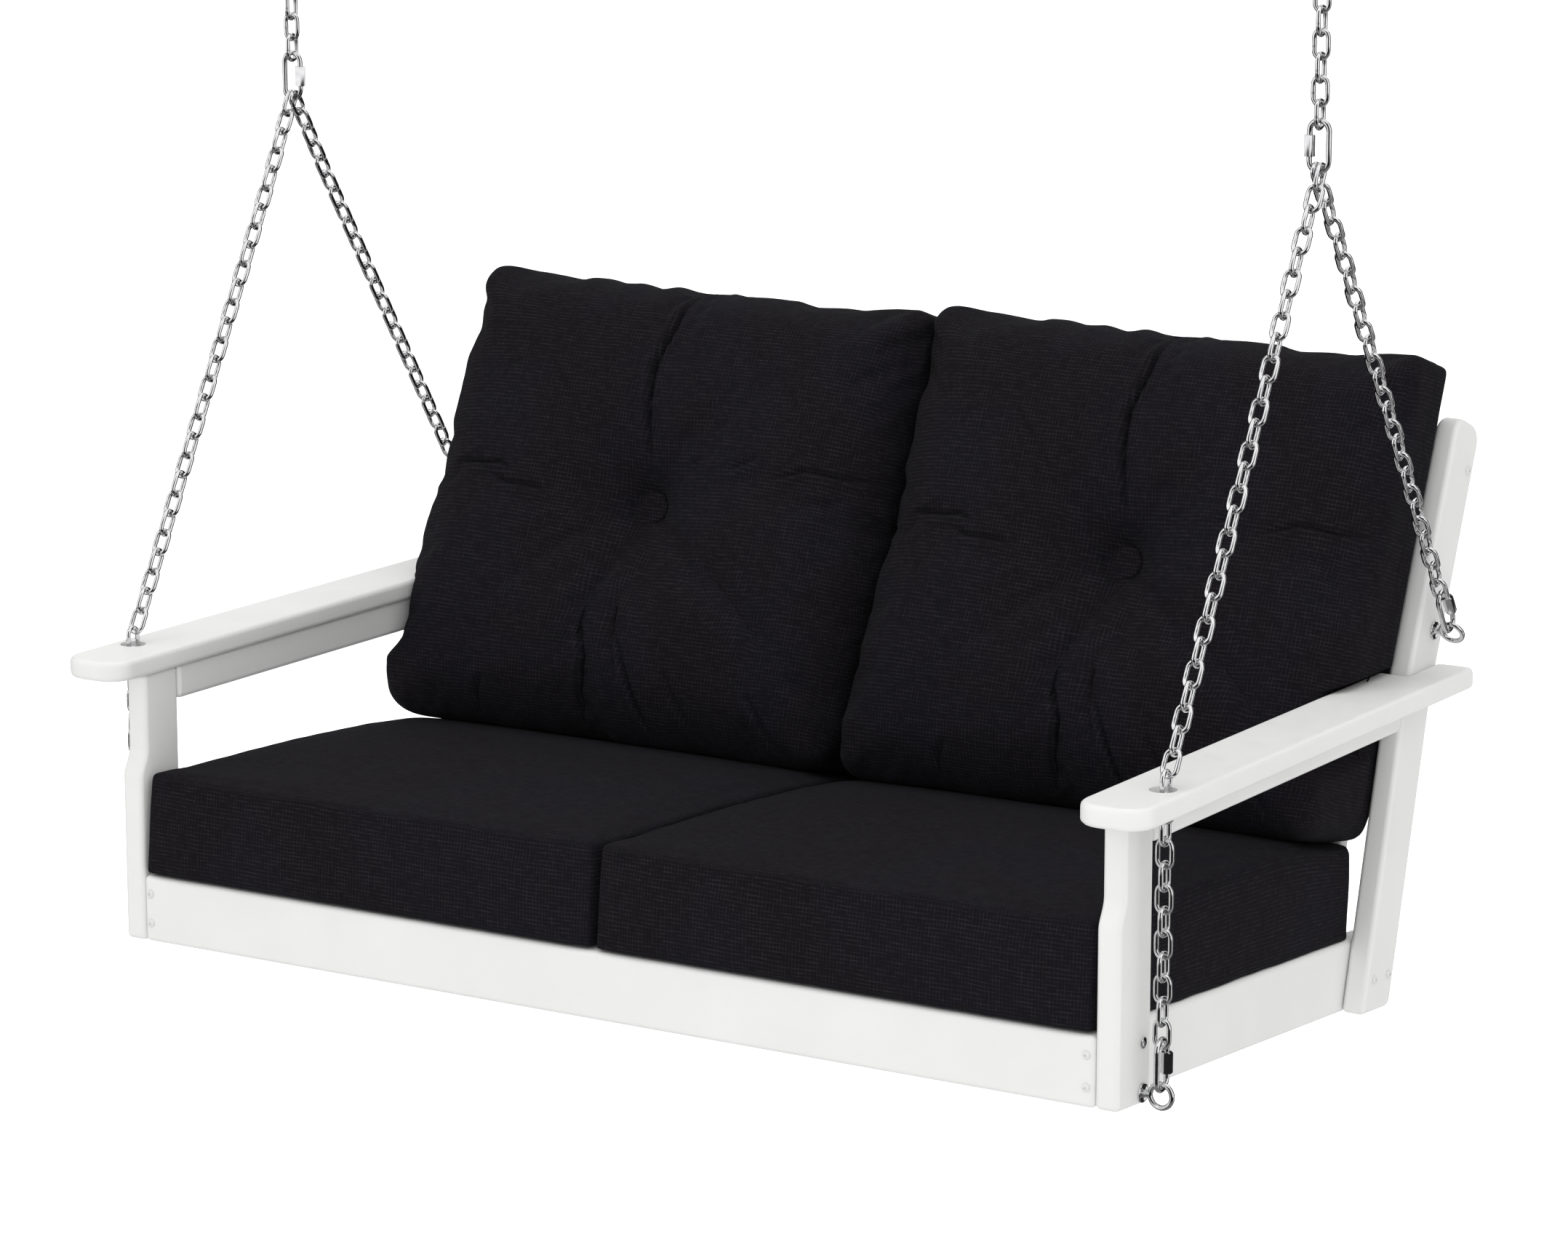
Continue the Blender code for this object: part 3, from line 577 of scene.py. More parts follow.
def make_chains(side, sign):
    junction = Vector(JOINTS["seat_pitch"]["pos_m"])
    hanging = Vector(JOINTS["swing"]["pos_m"])
    x = junction.x = hanging.x = eye_centre(f"eye_bolt_front_{side}", sign).x
    hook = hook_gap() + CHAIN_WIRE / 2
    quick_top = junction + Z_AXIS * 2 * QUICK_HALF_LENGTH
    chain_run(f"upper_chain_links_{side}", [quick_top - Z_AXIS * hook, hanging + Z_AXIS * hook],
              UPPER_LINKS, "upper_chains", f"upper_chain_{side}")

    front = centre_of(f"quick_link_front_{side}")
    arm_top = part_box(f"armrest_{side}")[1].z
    bend = Vector((x, front.y, arm_top + 0.0054))
    start = junction - (bend - junction).normalized() * hook
    end = Vector((x, front.y, front.z + QUICK_HALF_LENGTH - hook))
    chain_run(f"front_bridle_links_{side}", [start, bend, end], FRONT_LINKS, "seat",
              f"front_bridle_chain_{side}", sign * JUNCTION_SPREAD)

    rear = centre_of(f"quick_link_rear_{side}")
    rear.x = x
    along = (rear - junction).normalized()
    end = rear - along * (QUICK_HALF_LENGTH - hook)
    chain_run(f"rear_bridle_links_{side}", [junction - along * hook, end], REAR_LINKS, "seat",
              f"rear_bridle_chain_{side}", -sign * JUNCTION_SPREAD)


def make_quick_link(label, body, matrix):
    """An oval wire whose threaded ends meet inside a hexagon sleeve on its local -X bar."""
    bm = bmesh.new()
    path = oval(QUICK_HALF_WIDTH, QUICK_HALF_LENGTH, 14, QUICK_OPENING)
    sweep(bm, path, Y_AXIS, [QUICK_WIRE / 2] * len(path), WIRE_SIDES, False)
    bmesh.ops.recalc_face_normals(bm, faces=bm.faces)
    wire = make_piece(f"quick_link_wire_{label}", bm, FITTING_STEEL, matrix)
    hand_over(wire, 50, body, f"quick_link_{label}")
    bore = QUICK_WIRE / 2 + 0.0003
    sleeve_matrix = matrix @ Matrix.Translation((-QUICK_HALF_WIDTH, 0, 0))
    sleeve = make_piece(
        f"link_sleeve_{label}", hexagon(SLEEVE_ACROSS, SLEEVE_LENGTH, 0.0009, bore), FITTING_STEEL,
        sleeve_matrix,
    )
    hand_over(sleeve, 28, f"sleeve_{label}", f"quick_link_sleeve_{label}")


def make_quick_links(side, sign):
    inboard = X_AXIS * sign
    matrix = rotation_to(inboard, Z_AXIS.cross(inboard), Z_AXIS, centre_of(f"quick_link_upper_{side}"))
    make_quick_link(f"upper_{side}", "upper_chains", matrix)
    for label in ("front", "rear"):
        name = f"{label}_{side}"
        along = Vector(JOINTS[f"sleeve_{name}_travel"]["axis"]).normalized()
        wide = along.cross(X_AXIS)
        if wide.y > 0:
            wide = -wide
        matrix = rotation_to(wide, along.cross(wide), along, centre_of(f"quick_link_{name}"))
        make_quick_link(name, "seat", matrix)


def eye_profile(board_face, shank_end):
    """Shank, flange and neck of an eye bolt along local +Z, which points outboard to the ring."""
    crest = SHANK_RADIUS
    root = SHANK_RADIUS - 0.00045
    profile = [(0.0, shank_end), (root, shank_end)]
    height = shank_end + THREAD_PITCH / 2
    while height < shank_end + 0.012:
        profile += [(crest, height), (root, height + THREAD_PITCH / 2)]
        height += THREAD_PITCH
    face = board_face + 0.0003
    profile += [
        (crest, height), (crest, face), (0.0110, face), (0.0110, face + 0.0012),
        (0.0104, face + 0.0019), (0.0058, face + 0.0022), (0.0046, face + 0.0030),
        (0.0038, -EYE_RADIUS), (0.0, -EYE_RADIUS + 0.0012),
    ]
    return profile


def make_ring(name, radius, wire, matrix):
    """A welded ring of wire in the local XZ plane."""
    bm = bmesh.new()
    turns = [2 * math.pi * step / RING_STEPS for step in range(RING_STEPS)]
    path = [Vector((math.cos(turn), 0, math.sin(turn))) * radius for turn in turns]
    sweep(bm, path, Y_AXIS, [wire / 2] * RING_STEPS, WIRE_SIDES, True)
    bmesh.ops.recalc_face_normals(bm, faces=bm.faces)
    return make_piece(name, bm, FITTING_STEEL, matrix)


def make_eye_bolt(label, side, sign):
    name = f"eye_bolt_{label}_{side}"
    centre = eye_centre(name, sign)
    face = abs(outer_face(f"leg_{side}", sign))
    inner = abs(outer_face(name, -sign))
    reach = abs(centre.x)
    stem = make_piece("stem", turned(eye_profile(face - reach, inner - reach), 32), FITTING_STEEL)
    outboard = X_AXIS * sign
    along = Vector(JOINTS[f"sleeve_{label}_{side}_travel"]["axis"]).normalized()
    stem.matrix_world = rotation_to(along.cross(outboard), along, outboard, centre)
    ring_matrix = rotation_to(outboard, along.cross(outboard), along, centre)
    ring = make_ring(f"eye_{label}_{side}", EYE_RADIUS, EYE_WIRE, ring_matrix)
    combine(ring, stem, "UNION")
    hand_over(ring, 40, "seat", name)

    nut_node = f"eye_bolt_nut_{label}_{side}"
    nut_low, nut_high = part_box(nut_node)
    bm = hexagon(NUT_ACROSS, nut_high.x - nut_low.x, 0.0008, SHANK_RADIUS + 0.0003)
    matrix = Matrix.Translation(centre_of(nut_node)) @ Matrix.Rotation(math.pi / 2, 4, "Y")
    nut = make_piece(f"hex_nut_{label}_{side}", bm, FITTING_STEEL, matrix)
    hand_over(nut, 28, "seat", nut_node)


def make_hanger(side):
    """A ceiling plate with rounded corners, two countersunk screws and a welded eye."""
    node = f"ceiling_hanger_{side}"
    low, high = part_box(node)
    eye = Vector(JOINTS["swing"]["pos_m"])
    eye.x = (low.x + high.x) / 2
    thickness = 0.006
    bm = bmesh.new()
    bmesh.ops.create_cube(bm, size=1.0)
    bmesh.ops.scale(bm, vec=(high.x - low.x, high.y - low.y, thickness), verts=bm.verts)
    uprights = [e for e in bm.edges if abs(e.verts[0].co.z - e.verts[1].co.z) > thickness / 2]
    bmesh.ops.bevel(bm, geom=uprights, offset=0.010, segments=6, affect="EDGES", profile=0.5)
    plate_centre = Vector((eye.x, (low.y + high.y) / 2, high.z - thickness / 2))
    plate = make_piece(f"hanger_plate_{side}", bm, FITTING_STEEL,
                       Matrix.Translation(plate_centre))
    round_over = plate.modifiers.new("edge", "BEVEL")
    round_over.width = 0.001
    round_over.segments = 2
    ring_matrix = Matrix.Translation(eye + Z_AXIS * HANGER_RADIUS)
    ring = make_ring("hanger_ring", HANGER_RADIUS, QUICK_WIRE, ring_matrix)
    combine(plate, ring, "UNION")
    hand_over(plate, 35, "hangers", node)
    for label, direction in (("front", -1), ("rear", 1)):
        profile = [(0.0, 0.0024), (0.0035, 0.0022), (0.0062, 0.0012), (0.0070, 0.0), (0.0, 0.0)]
        place = plate_centre + Vector((0, direction * 0.035, -thickness / 2 - 0.0001))
        matrix = Matrix.Translation(place) @ Matrix.Rotation(math.pi, 4, "X")
        name = f"hanger_screw_{label}_{side}"
        screw = make_piece(name, turned(profile, 24), FITTING_STEEL, matrix)
        hand_over(screw, 50, "hangers")


# ---------------------------------------------------------------- cushions

def grid_box(size, cuts, crowding=1.0):
    """A box cut into a grid that is denser near its edges, with panel coordinates in metres as UVs."""
    bm = bmesh.new()
    bmesh.ops.create_cube(bm, size=2.0)
    for axis in range(3):
        along = [e for e in bm.edges if abs((e.verts[0].co - e.verts[1].co).normalized()[axis]) > 0.9]
        bmesh.ops.subdivide_edges(bm, edges=along, cuts=cuts[axis], use_grid_fill=True)
    for vert in bm.verts:
        for axis in range(3):
            share = vert.co[axis]
            spread = 1 - max(0.0, 1 - abs(share)) ** crowding
            vert.co[axis] = math.copysign(spread, share) * size[axis] / 2
    bm.normal_update()
    weave = bm.loops.layers.uv.new("weave")
    for face in bm.faces:
        axis = max(range(3), key=lambda index: abs(face.normal[index]))
        first, second = [index for index in range(3) if index != axis]
        for loop in face.loops:
            place = loop.vert.co
            loop[weave].uv = (place[first] + 0.37 * axis, place[second] + 0.61 * axis)
    return bm


def get_points(mesh):
    points = np.zeros(len(mesh.vertices) * 3)
    mesh.vertices.foreach_get("co", points)
    return points.reshape(-1, 3)


def set_points(mesh, points):
    mesh.vertices.foreach_set("co", points.ravel())
    mesh.update()


def smooth_step(value):
    share = np.clip(value, 0.0, 1.0)
    return share * share * (3 - 2 * share)


def bell(value):
    return np.exp(-(value ** 2))


def rounded_box(points, half, radius):
    """Rounds a box's edges: what lies in the outer shell is pulled onto an arc."""
    half = np.array(half)
    core = np.clip(points, -(half - radius), half - radius)
    out = points - core
    length = np.linalg.norm(out, axis=1, keepdims=True)
    return core + out * np.where(length > 0, radius / np.maximum(length, 1e-9), 0.0)


def inflate(piece, pins, pressure, swell, cap, frames=20):
    """Cloth simulation: the cover swells under pressure, held at its pins, and moves at most cap."""
    rest = get_points(piece.data)
    group = piece.vertex_groups.new(name="held")
    for index in np.nonzero(pins > 0.01)[0]:
        group.add([int(index)], float(pins[index]), "REPLACE")
    cloth = piece.modifiers.new("padding", "CLOTH")
    settings = cloth.settings
    settings.quality = 5
    settings.mass = 0.25
    settings.tension_stiffness = 12
    settings.compression_stiffness = 12
    settings.shear_stiffness = 6
    settings.bending_stiffness = 0.6
    settings.air_damping = 2.0
    settings.vertex_group_mass = "held"
    settings.pin_stiffness = 1.0
    settings.use_pressure = True
    settings.uniform_pressure_force = pressure
    settings.shrink_min = -swell
    settings.effector_weights.gravity = 0.0
    cloth.collision_settings.use_collision = False
    scene = bpy.context.scene
    scene.frame_start = 1
    scene.frame_end = frames
    cloth.point_cache.frame_start = 1
    cloth.point_cache.frame_end = frames
    for step in range(1, frames + 1):
        scene.frame_set(step)
    apply_modifiers(piece)
    scene.frame_set(1)
    moved = get_points(piece.data) - rest
    far = np.linalg.norm(moved, axis=1, keepdims=True)
    moved *= cap * np.tanh(far / cap) / np.maximum(far, 1e-9)
    set_points(piece.data, rest + moved)


def subdivide(piece):
    smooth = piece.modifiers.new("finer", "SUBSURF")
    smooth.levels = 1
    smooth.render_levels = 1
    apply_modifiers(piece)


def rows(axes):
    return np.array([list(axis) for axis in axes])


def extent(node, axes):
    """Lowest and highest place of a node along each of three directions."""
    points = get_points(frame["nodes"][node].data) @ rows(axes).T
    return points.min(axis=0), points.max(axis=0)


def edge_gathers(points, half, length, seed, sharpness):
    """Gathers of the cover: uneven waves that run round the rim and fade inwards."""
    inset = np.minimum(half[0] - np.abs(points[:, 0]), half[2] - np.abs(points[:, 2]))
    angle = np.arctan2(points[:, 2] / half[2], points[:, 0] / half[0])
    rim = angle * (half[0] + half[2]) / 2
    value = np.array([noise.noise(Vector((s / length, seed, 0.3))) for s in rim])
    value = np.sign(value) * np.abs(value) ** sharpness
    return value * np.exp(-np.clip(inset, 0, None) / 0.030)


def seat_frame():
    """Axes of the seat deck: X, rearward along the rake, and up from the deck."""
    forward = Vector(JOINTS["left_seat_cushion_slide"]["axis"]).normalized()
    rearward = -forward
    return X_AXIS, rearward, X_AXIS.cross(rearward)


def back_frame():
    """Axes of the back: X, rearward from the slats, and up along them."""
    up = Vector(JOINTS["left_back_cushion_lift"]["axis"]).normalized()
    return X_AXIS, up.cross(X_AXIS), up


def seat_crown(across, along):
    """Rise of a seat cushion's top: a long arch front to back, pressed down below the back cushion."""
    arch = smooth_step((1.0 - along) / 0.75) * smooth_step((along + 1.02) / 1.0)
    middle = (1 - np.clip(np.abs(across), 0, 1) ** 3) * arch
    pressed = smooth_step((along - 0.52) / 0.45)
    return 0.0080 * arch + 0.0065 * middle - 0.0120 * pressed


def seat_space():
    """The right seat cushion's lowest and highest places in the deck's axes, as the cover fills them."""
    low, high = extent("seat_cushion_right", seat_frame())
    return low - [COVER_LOOSENESS, FRONT_OVERHANG, 0.0], high + [COVER_LOOSENESS, 0.0, 0.0]


def make_seat_cushions():
    """Firm box cushions: flat sides, an arched top and a cover drawn tight at the seams."""
    axes = seat_frame()
    low, high = seat_space()
    half = (high - low) / 2
    bm = grid_box(Vector(high - low), (76, 76, 18), 1.3)
    piece = make_piece("seat_cushion_cover", bm, FABRIC)
    points = get_points(piece.data)
    radius = 0.0035 + 0.0050 * smooth_step(points[:, 2] / half[2])
    points = rounded_box(points, half, radius[:, None])
    upper = smooth_step((points[:, 2] / half[2] + 1) / 2)
    across, along = points[:, 0] / half[0], points[:, 1] / half[1]
    corner = np.prod([np.clip((np.abs(share) - 0.93) / 0.07, 0, 1) for share in (across, along)], axis=0)
    rounding = corner * np.where(along > 0, 0.009, 0.003)
    points[:, 0] -= np.sign(across) * rounding
    points[:, 1] -= np.sign(along) * rounding
    points[:, 2] += seat_crown(across, along) * upper
    set_points(piece.data, points)
    held = (points[:, 2] < -half[2] + 0.004).astype(float)
    inflate(piece, held, 1.2, 0.002, 0.0025)
    subdivide(piece)
    points = get_points(piece.data)
    ripple = np.array([noise.noise(Vector(p * (9, 9, 14))) for p in points])
    side_wave = np.array([noise.noise(Vector(p * (26, 26, 9))) for p in points])
    edge = np.maximum(np.abs(points[:, 0]) / half[0], np.abs(points[:, 1]) / half[1])
    on_side = smooth_step((edge - 0.93) / 0.06)
    outward = points / np.maximum(np.linalg.norm(points, axis=1, keepdims=True), 1e-9)
    points += outward * (ripple * 0.0012 * (1 - on_side) + side_wave * 0.0016 * on_side)[:, None]
    points[:, 0] = np.clip(points[:, 0], -half[0] - 0.0004, half[0] + 0.0004)
    points[:, 2] = np.maximum(points[:, 2], -half[2] + 0.0002)
    middle = (low + high) / 2
    for side, sign in SIDES:
        origin = axes[0] * sign * middle[0] + axes[1] * middle[1] + axes[2] * middle[2]
        finish_seat_cushion(side, piece, points, half, rotation_to(*axes, origin))
    bpy.data.objects.remove(piece)


def surface_tree(mesh):
    faces = [tuple(face.vertices) for face in mesh.polygons]
    return BVHTree.FromPolygons([vert.co.copy() for vert in mesh.vertices], faces)


def cord_around(name, surface, rim, insets, body, matrix):
    """A sewn cord laid along a closed line of points, each sunk its own inset into a cushion."""
    tree = surface_tree(surface)
    path = []
    for point, inset in zip(rim, insets):
        place, normal, _, _ = tree.find_nearest(point)
        path.append(place - normal * inset)
    after = path[1:] + path[:1]
    smoothed = [(path[i - 1] + path[i] * 2 + after[i]) / 4 for i in range(len(path))]
    curve = bpy.data.curves.new(name, "CURVE")
    curve.dimensions = "3D"
    curve.bevel_depth = CORD_RADIUS
    curve.bevel_resolution = 1
    spline = curve.splines.new("POLY")
    spline.points.add(len(smoothed) - 1)
    for target, place in zip(spline.points, smoothed):
        target.co = (*place, 1.0)
    spline.use_cyclic_u = True
    source = bpy.data.objects.new(name, curve)
    show(source)
    bpy.context.view_layer.update()
    evaluated = source.evaluated_get(bpy.context.evaluated_depsgraph_get())
    bm = bmesh.new()
    bm.from_mesh(bpy.data.meshes.new_from_object(evaluated))
    bpy.data.objects.remove(source)
    cord = make_piece(name, bm, CORD, matrix)
    cord.data.shade_smooth()
    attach(cord, body)


def rectangle_rim(half_x, half_y, corner, level, count=260):
    """Evenly spaced points of a rounded rectangle at one level, going once round."""
    core = (half_x - corner, half_y - corner)
    lengths = [2 * core[1 - quarter % 2] + math.pi / 2 * corner for quarter in range(4)]
    rim = []
    for step in range(count):
        distance = sum(lengths) * step / count
        quarter = 0
        while distance > lengths[quarter]:
            distance -= lengths[quarter]
            quarter += 1
        reach, straight = core[quarter % 2], core[1 - quarter % 2]
        turn = max(0.0, distance - 2 * straight) / corner
        outward = reach + corner * math.cos(turn)
        along = min(distance - straight, straight) + corner * math.sin(turn)
        place = Matrix.Rotation(math.pi / 2 * quarter, 3, "Z") @ Vector((outward, along, level))
        rim.append(place)
    return rim


def place_cover(source, side, kind, points, matrix):
    """One side's own copy of a cushion cover, riding that cushion's body."""
    piece = source.copy()
    piece.data = source.data.copy()
    piece.name = f"{kind}_cover_{side}"
    show(piece)
    set_points(piece.data, points)
    piece.matrix_world = matrix
    piece.data.shade_smooth()
    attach(piece, f"{side}_{kind}")
    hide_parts(f"{kind}_{side}")
    return piece


def finish_seat_cushion(side, source, points, half, matrix):
    piece = place_cover(source, side, "seat_cushion", points, matrix)
    for label, level in (("top", half[2] - 0.004), ("bottom", -half[2] + 0.006)):
        rim = rectangle_rim(half[0] - 0.001, half[1] - 0.001, 0.016, level)
        insets = [0.0006] * len(rim)
        cord_around(f"seat_seam_{label}_{side}", piece.data, rim, insets, f"{side}_seat_cushion", matrix)


# Folds of a back cushion: (across, height) points from one end to the other, width and depth
FOLDS = (
    (((-0.002, 0.735), (-0.004, 0.662), (-0.014, 0.617), (-0.010, 0.572), (-0.004, 0.535),
      (0.004, 0.495)), 0.0032, 0.0110),
    (((-0.278, 0.465), (-0.258, 0.467), (-0.230, 0.466), (-0.204, 0.469), (-0.186, 0.463)),
     0.0026, 0.0075),
    (((-0.212, 0.452), (-0.188, 0.443), (-0.164, 0.443), (-0.130, 0.441)), 0.0030, 0.0075),
    (((0.130, 0.489), (0.150, 0.498), (0.174, 0.511)), 0.0034, 0.0050),
    (((0.198, 0.484), (0.213, 0.490), (0.240, 0.500), (0.286, 0.496), (0.330, 0.500)), 0.0028, 0.0075),
    (((0.010, 0.415), (-0.016, 0.350), (-0.034, 0.295), (-0.030, 0.250)), 0.0150, 0.0085),
    (((-0.030, 0.275), (-0.022, 0.255), (-0.014, 0.235), (-0.020, 0.150)), 0.0030, 0.0120),
    (((0.017, 0.330), (0.021, 0.285), (0.026, 0.250), (0.042, 0.208)), 0.0060, 0.0060),
    (((0.030, 0.270), (0.052, 0.225), (0.086, 0.150)), 0.0030, 0.0090),
    (((0.106, 0.230), (0.128, 0.195), (0.158, 0.150)), 0.0045, 0.0065),
    (((0.130, 0.365), (0.180, 0.325), (0.236, 0.280)), 0.0130, 0.0050),
    (((0.230, 0.215), (0.250, 0.185), (0.268, 0.150)), 0.0040, 0.0060),
    (((-0.160, 0.200), (-0.172, 0.175), (-0.178, 0.145)), 0.0040, 0.0050),
)
# Broad hollows between the puffed quarters: (across, height) ends, width and depth
HOLLOWS = (
    (((0.0, 0.44), (0.0, 0.74)), 0.034, 0.006),
    (((0.0, 0.44), (-0.32, 0.455)), 0.034, 0.006),
    (((0.0, 0.44), (0.32, 0.495)), 0.034, 0.006),
    (((0.0, 0.44), (-0.030, 0.13)), 0.036, 0.008),
    (((0.02, 0.42), (0.15, 0.13)), 0.028, 0.005),
    (((0.03, 0.42), (0.26, 0.27)), 0.032, 0.005),
)
GATHER_REACH = 0.010


def offset_from_line(points, line):
    """Offset of each (across, height) from a bent line, and how far along it the foot lies (0 to 1)."""
    nearest = np.full((len(points), 2), 1e3)
    share = np.zeros(len(points))
    turned_to = np.zeros(len(points))
    total = sum(math.dist(a, b) for a, b in zip(line, line[1:]))
    travelled = 0.0
    for start, end in zip(line, line[1:]):
        start = np.array(start)
        span = np.array(end) - start
        length = np.linalg.norm(span)
        reach = np.clip((points - start) @ span / length, 0, length)
        offset = points - start - reach[:, None] * span / length
        nearer = np.linalg.norm(offset, axis=1) < np.linalg.norm(nearest, axis=1)
        nearest[nearer] = offset[nearer]
        share[nearer] = (travelled + reach[nearer]) / total
        side = offset[:, 0] * span[1] - offset[:, 1] * span[0]
        turned_to[nearer] = np.sign(side[nearer])
        travelled += length
    return nearest, turned_to, share


def fold(points, front):
    """Draws a back cushion's cover into its folds: one lip stands proud and leans over the crease."""
    for line, width, deepest in FOLDS:
        offset, side, share = offset_from_line(points[:, (0, 2)], line)
        distance = np.linalg.norm(offset, axis=1)
        near = distance < 12 * width
        taper = np.sqrt(np.clip(4 * share * (1 - share), 0, 1)) * front
        away = offset / np.maximum(distance, 1e-9)[:, None]
        reach = max(GATHER_REACH, 3 * width)
        drawn = np.where(distance < reach, distance - reach * (distance / reach) ** 1.5, 0.0)
        lean = 0.35 * width * bell(distance / (2.5 * width)) * (side > 0)
        shift = away * ((drawn + lean) * taper)[:, None]
        drawn_distance = np.maximum(distance - drawn * taper, 0)
        crease = bell(drawn_distance / width)
        lip = bell((drawn_distance - 2.2 * width) / (1.8 * width)) * (side > 0)
        depth = deepest * taper * (crease - 0.40 * lip)
        points[near, 0] -= shift[near, 0]
        points[near, 2] -= shift[near, 1]
        points[near, 1] += depth[near]
    radius = np.hypot(points[:, 0], points[:, 2] - BUTTON_HEIGHT)
    points[:, 1] += 0.004 * bell((radius - BUTTON_RADIUS - 0.001) / 0.0032) * front


def hollow_depth(points):
    depth = np.zeros(len(points))
    for line, width, deepest in HOLLOWS:
        offset, _, share = offset_from_line(points[:, (0, 2)], line)
        distance = np.linalg.norm(offset, axis=1)
        depth += deepest * bell(distance / width) * (1 - 0.5 * share)
    return depth


def thickness_at(height):
    levels, values = zip(*BACK_THICKNESS)
    return np.interp(height, levels, values)


def back_cushion_shape(points, half, middle):
    """Full low down and thinner at the top, drawn in at the button and towards the side seams."""
    across = points[:, 0]
    height = points[:, 2] + middle
    thick = thickness_at(height)
    edge = np.abs(across) / half[0]
    thick = thick * (1 - 0.04 * edge ** 4)
    front = 0.5 - points[:, 1] / (2 * half[1])
    points[:, 1] = -front * thick
    radius = np.hypot(across, height - BUTTON_HEIGHT)
    points[:, 1] += TUFT_DEPTH * bell(radius / 0.070) * front ** 2
    return points


def kept_above(values, floor, softness=0.004):
    return floor + softness * np.logaddexp(0.0, (values - floor) / softness)


def kept_below(values, ceiling, softness=0.004):
    return ceiling - softness * np.logaddexp(0.0, (ceiling - values) / softness)


def press(points, sign, middle_x, slat_gap, axes, origin):
    """Keeps a back cushion off the slats, side frame and neighbour; it may bulge over the arm."""
    world = (points + [middle_x, 0.0, 0.0]) @ rows(axes) + np.array(origin)
    arm_low, arm_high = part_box("armrest_right")
    rail_low, rail_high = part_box("arm_rail_right")
    above_arm = world[:, 2] - arm_high.z
    over_arm = smooth_step((above_arm - 0.001) / 0.010)
    under_rail = smooth_step((rail_low.z - 0.002 - world[:, 2]) / 0.030)
    limit = arm_low.x - 0.0012 + 0.0235 * over_arm + 0.0200 * under_rail
    post_front = rail_high.y + math.tan(math.radians(POST_LEAN)) * above_arm
    beside_post = smooth_step((world[:, 1] - post_front + 0.012) / 0.010)
    limit = limit * (1 - beside_post) + np.minimum(limit, rail_low.x - 0.0015) * beside_post
    x = kept_below(world[:, 0] * sign, limit)
    x = kept_above(x, 0.0016, 0.002)
    points[:, 0] = x * sign - middle_x
    points[:, 1] = kept_below(points[:, 1], -slat_gap)
    return points


def rest_on_seat(points, middle_x, axes, origin):
    """Lifts a back cushion's underside onto the arched top of the seat cushion."""
    back, deck = rows(axes), rows(seat_frame())
    world = (points + [middle_x, 0.0, 0.0]) @ back + np.array(origin)
    low, high = seat_space()
    middle, half = (low + high) / 2, (high - low) / 2
    across = (np.abs(world[:, 0]) - middle[0]) / half[0]
    along = (world @ deck[1] - middle[1]) / half[1]
    height = world @ deck[2]
    level = high[2] + 0.002 + seat_crown(across, along)
    world += (kept_above(height, level) - height)[:, None] * deck[2]
    return (world - np.array(origin)) @ back.T - [middle_x, 0.0, 0.0]


def make_back_cushions():
    axes = back_frame()
    slat_low, _ = extent("back_slat_4", axes)
    plane = slat_low[1]
    origin = axes[1] * plane
    base = plane * axes[1].z / axes[2].z
    middle = (BACK_TOP + BACK_BOTTOM) / 2
    half = (0.326, 0.09, (BACK_TOP - BACK_BOTTOM) / 2 - 0.003)
    bm = grid_box(Vector(half) * 2, (104, 30, 94))
    piece = make_piece("back_cushion_cover", bm, FABRIC)
    points = rounded_box(get_points(piece.data), half, 0.030)
    points = back_cushion_shape(points, half, middle)
    set_points(piece.data, points)
    radius = np.hypot(points[:, 0], points[:, 2] + middle - BUTTON_HEIGHT)
    held = np.clip(1.6 - radius / 0.016, 0, 1)
    held = np.maximum(held, (points[:, 1] > -0.004) * 0.6)
    inflate(piece, held, 3.0, 0.030, 0.020)
    subdivide(piece)
    shape = get_points(piece.data)
    zero = origin - axes[2] * base
    for side, sign in SIDES:
        finish_back_cushion(side, sign, piece, shape.copy(), half, middle, axes, zero)
    bpy.data.objects.remove(piece)


def slacken(points, sign, half, middle):
    """Lets a back cushion sag to its outer side and draws in its lower corners."""
    across = points[:, 0] / half[0]
    along = points[:, 2] / half[2]
    outer = across * sign > 0
    forward = np.clip(-points[:, 1] / thickness_at(points[:, 2] + middle), 0, 1)
    low = smooth_step(-along / 0.9)
    ear = np.abs(across * along) ** 3
    spread = np.where(along > 0, 0.005, np.where(outer, -0.008 - 0.008 * (1 - forward), -0.006))
    drawn_in = np.where(outer, -0.002, 0.004) * across ** 6 * (1 - along ** 4)
    height = points[:, 2] + middle
    slump = SLUMP_LOW_DOWN * bell((height - 0.20) / 0.045) * forward
    slump += BULGE_OVER_ARM * bell((height - 0.40) / 0.060) * bell((forward - 0.45) / 0.20)
    tuck = 0.010 * low * (1 - forward)
    points[:, 0] += np.sign(across) * (spread * ear - drawn_in + outer * across ** 6 * (slump - tuck))
    points[:, 2] += np.sign(along) * (spread * ear - 0.009 * along ** 6 * (1 - across ** 4))
    points[:, 2] -= 0.009 * smooth_step((across + 0.15) / 0.9) * np.clip(along, 0, 1) ** 4
    points[:, 2] += middle


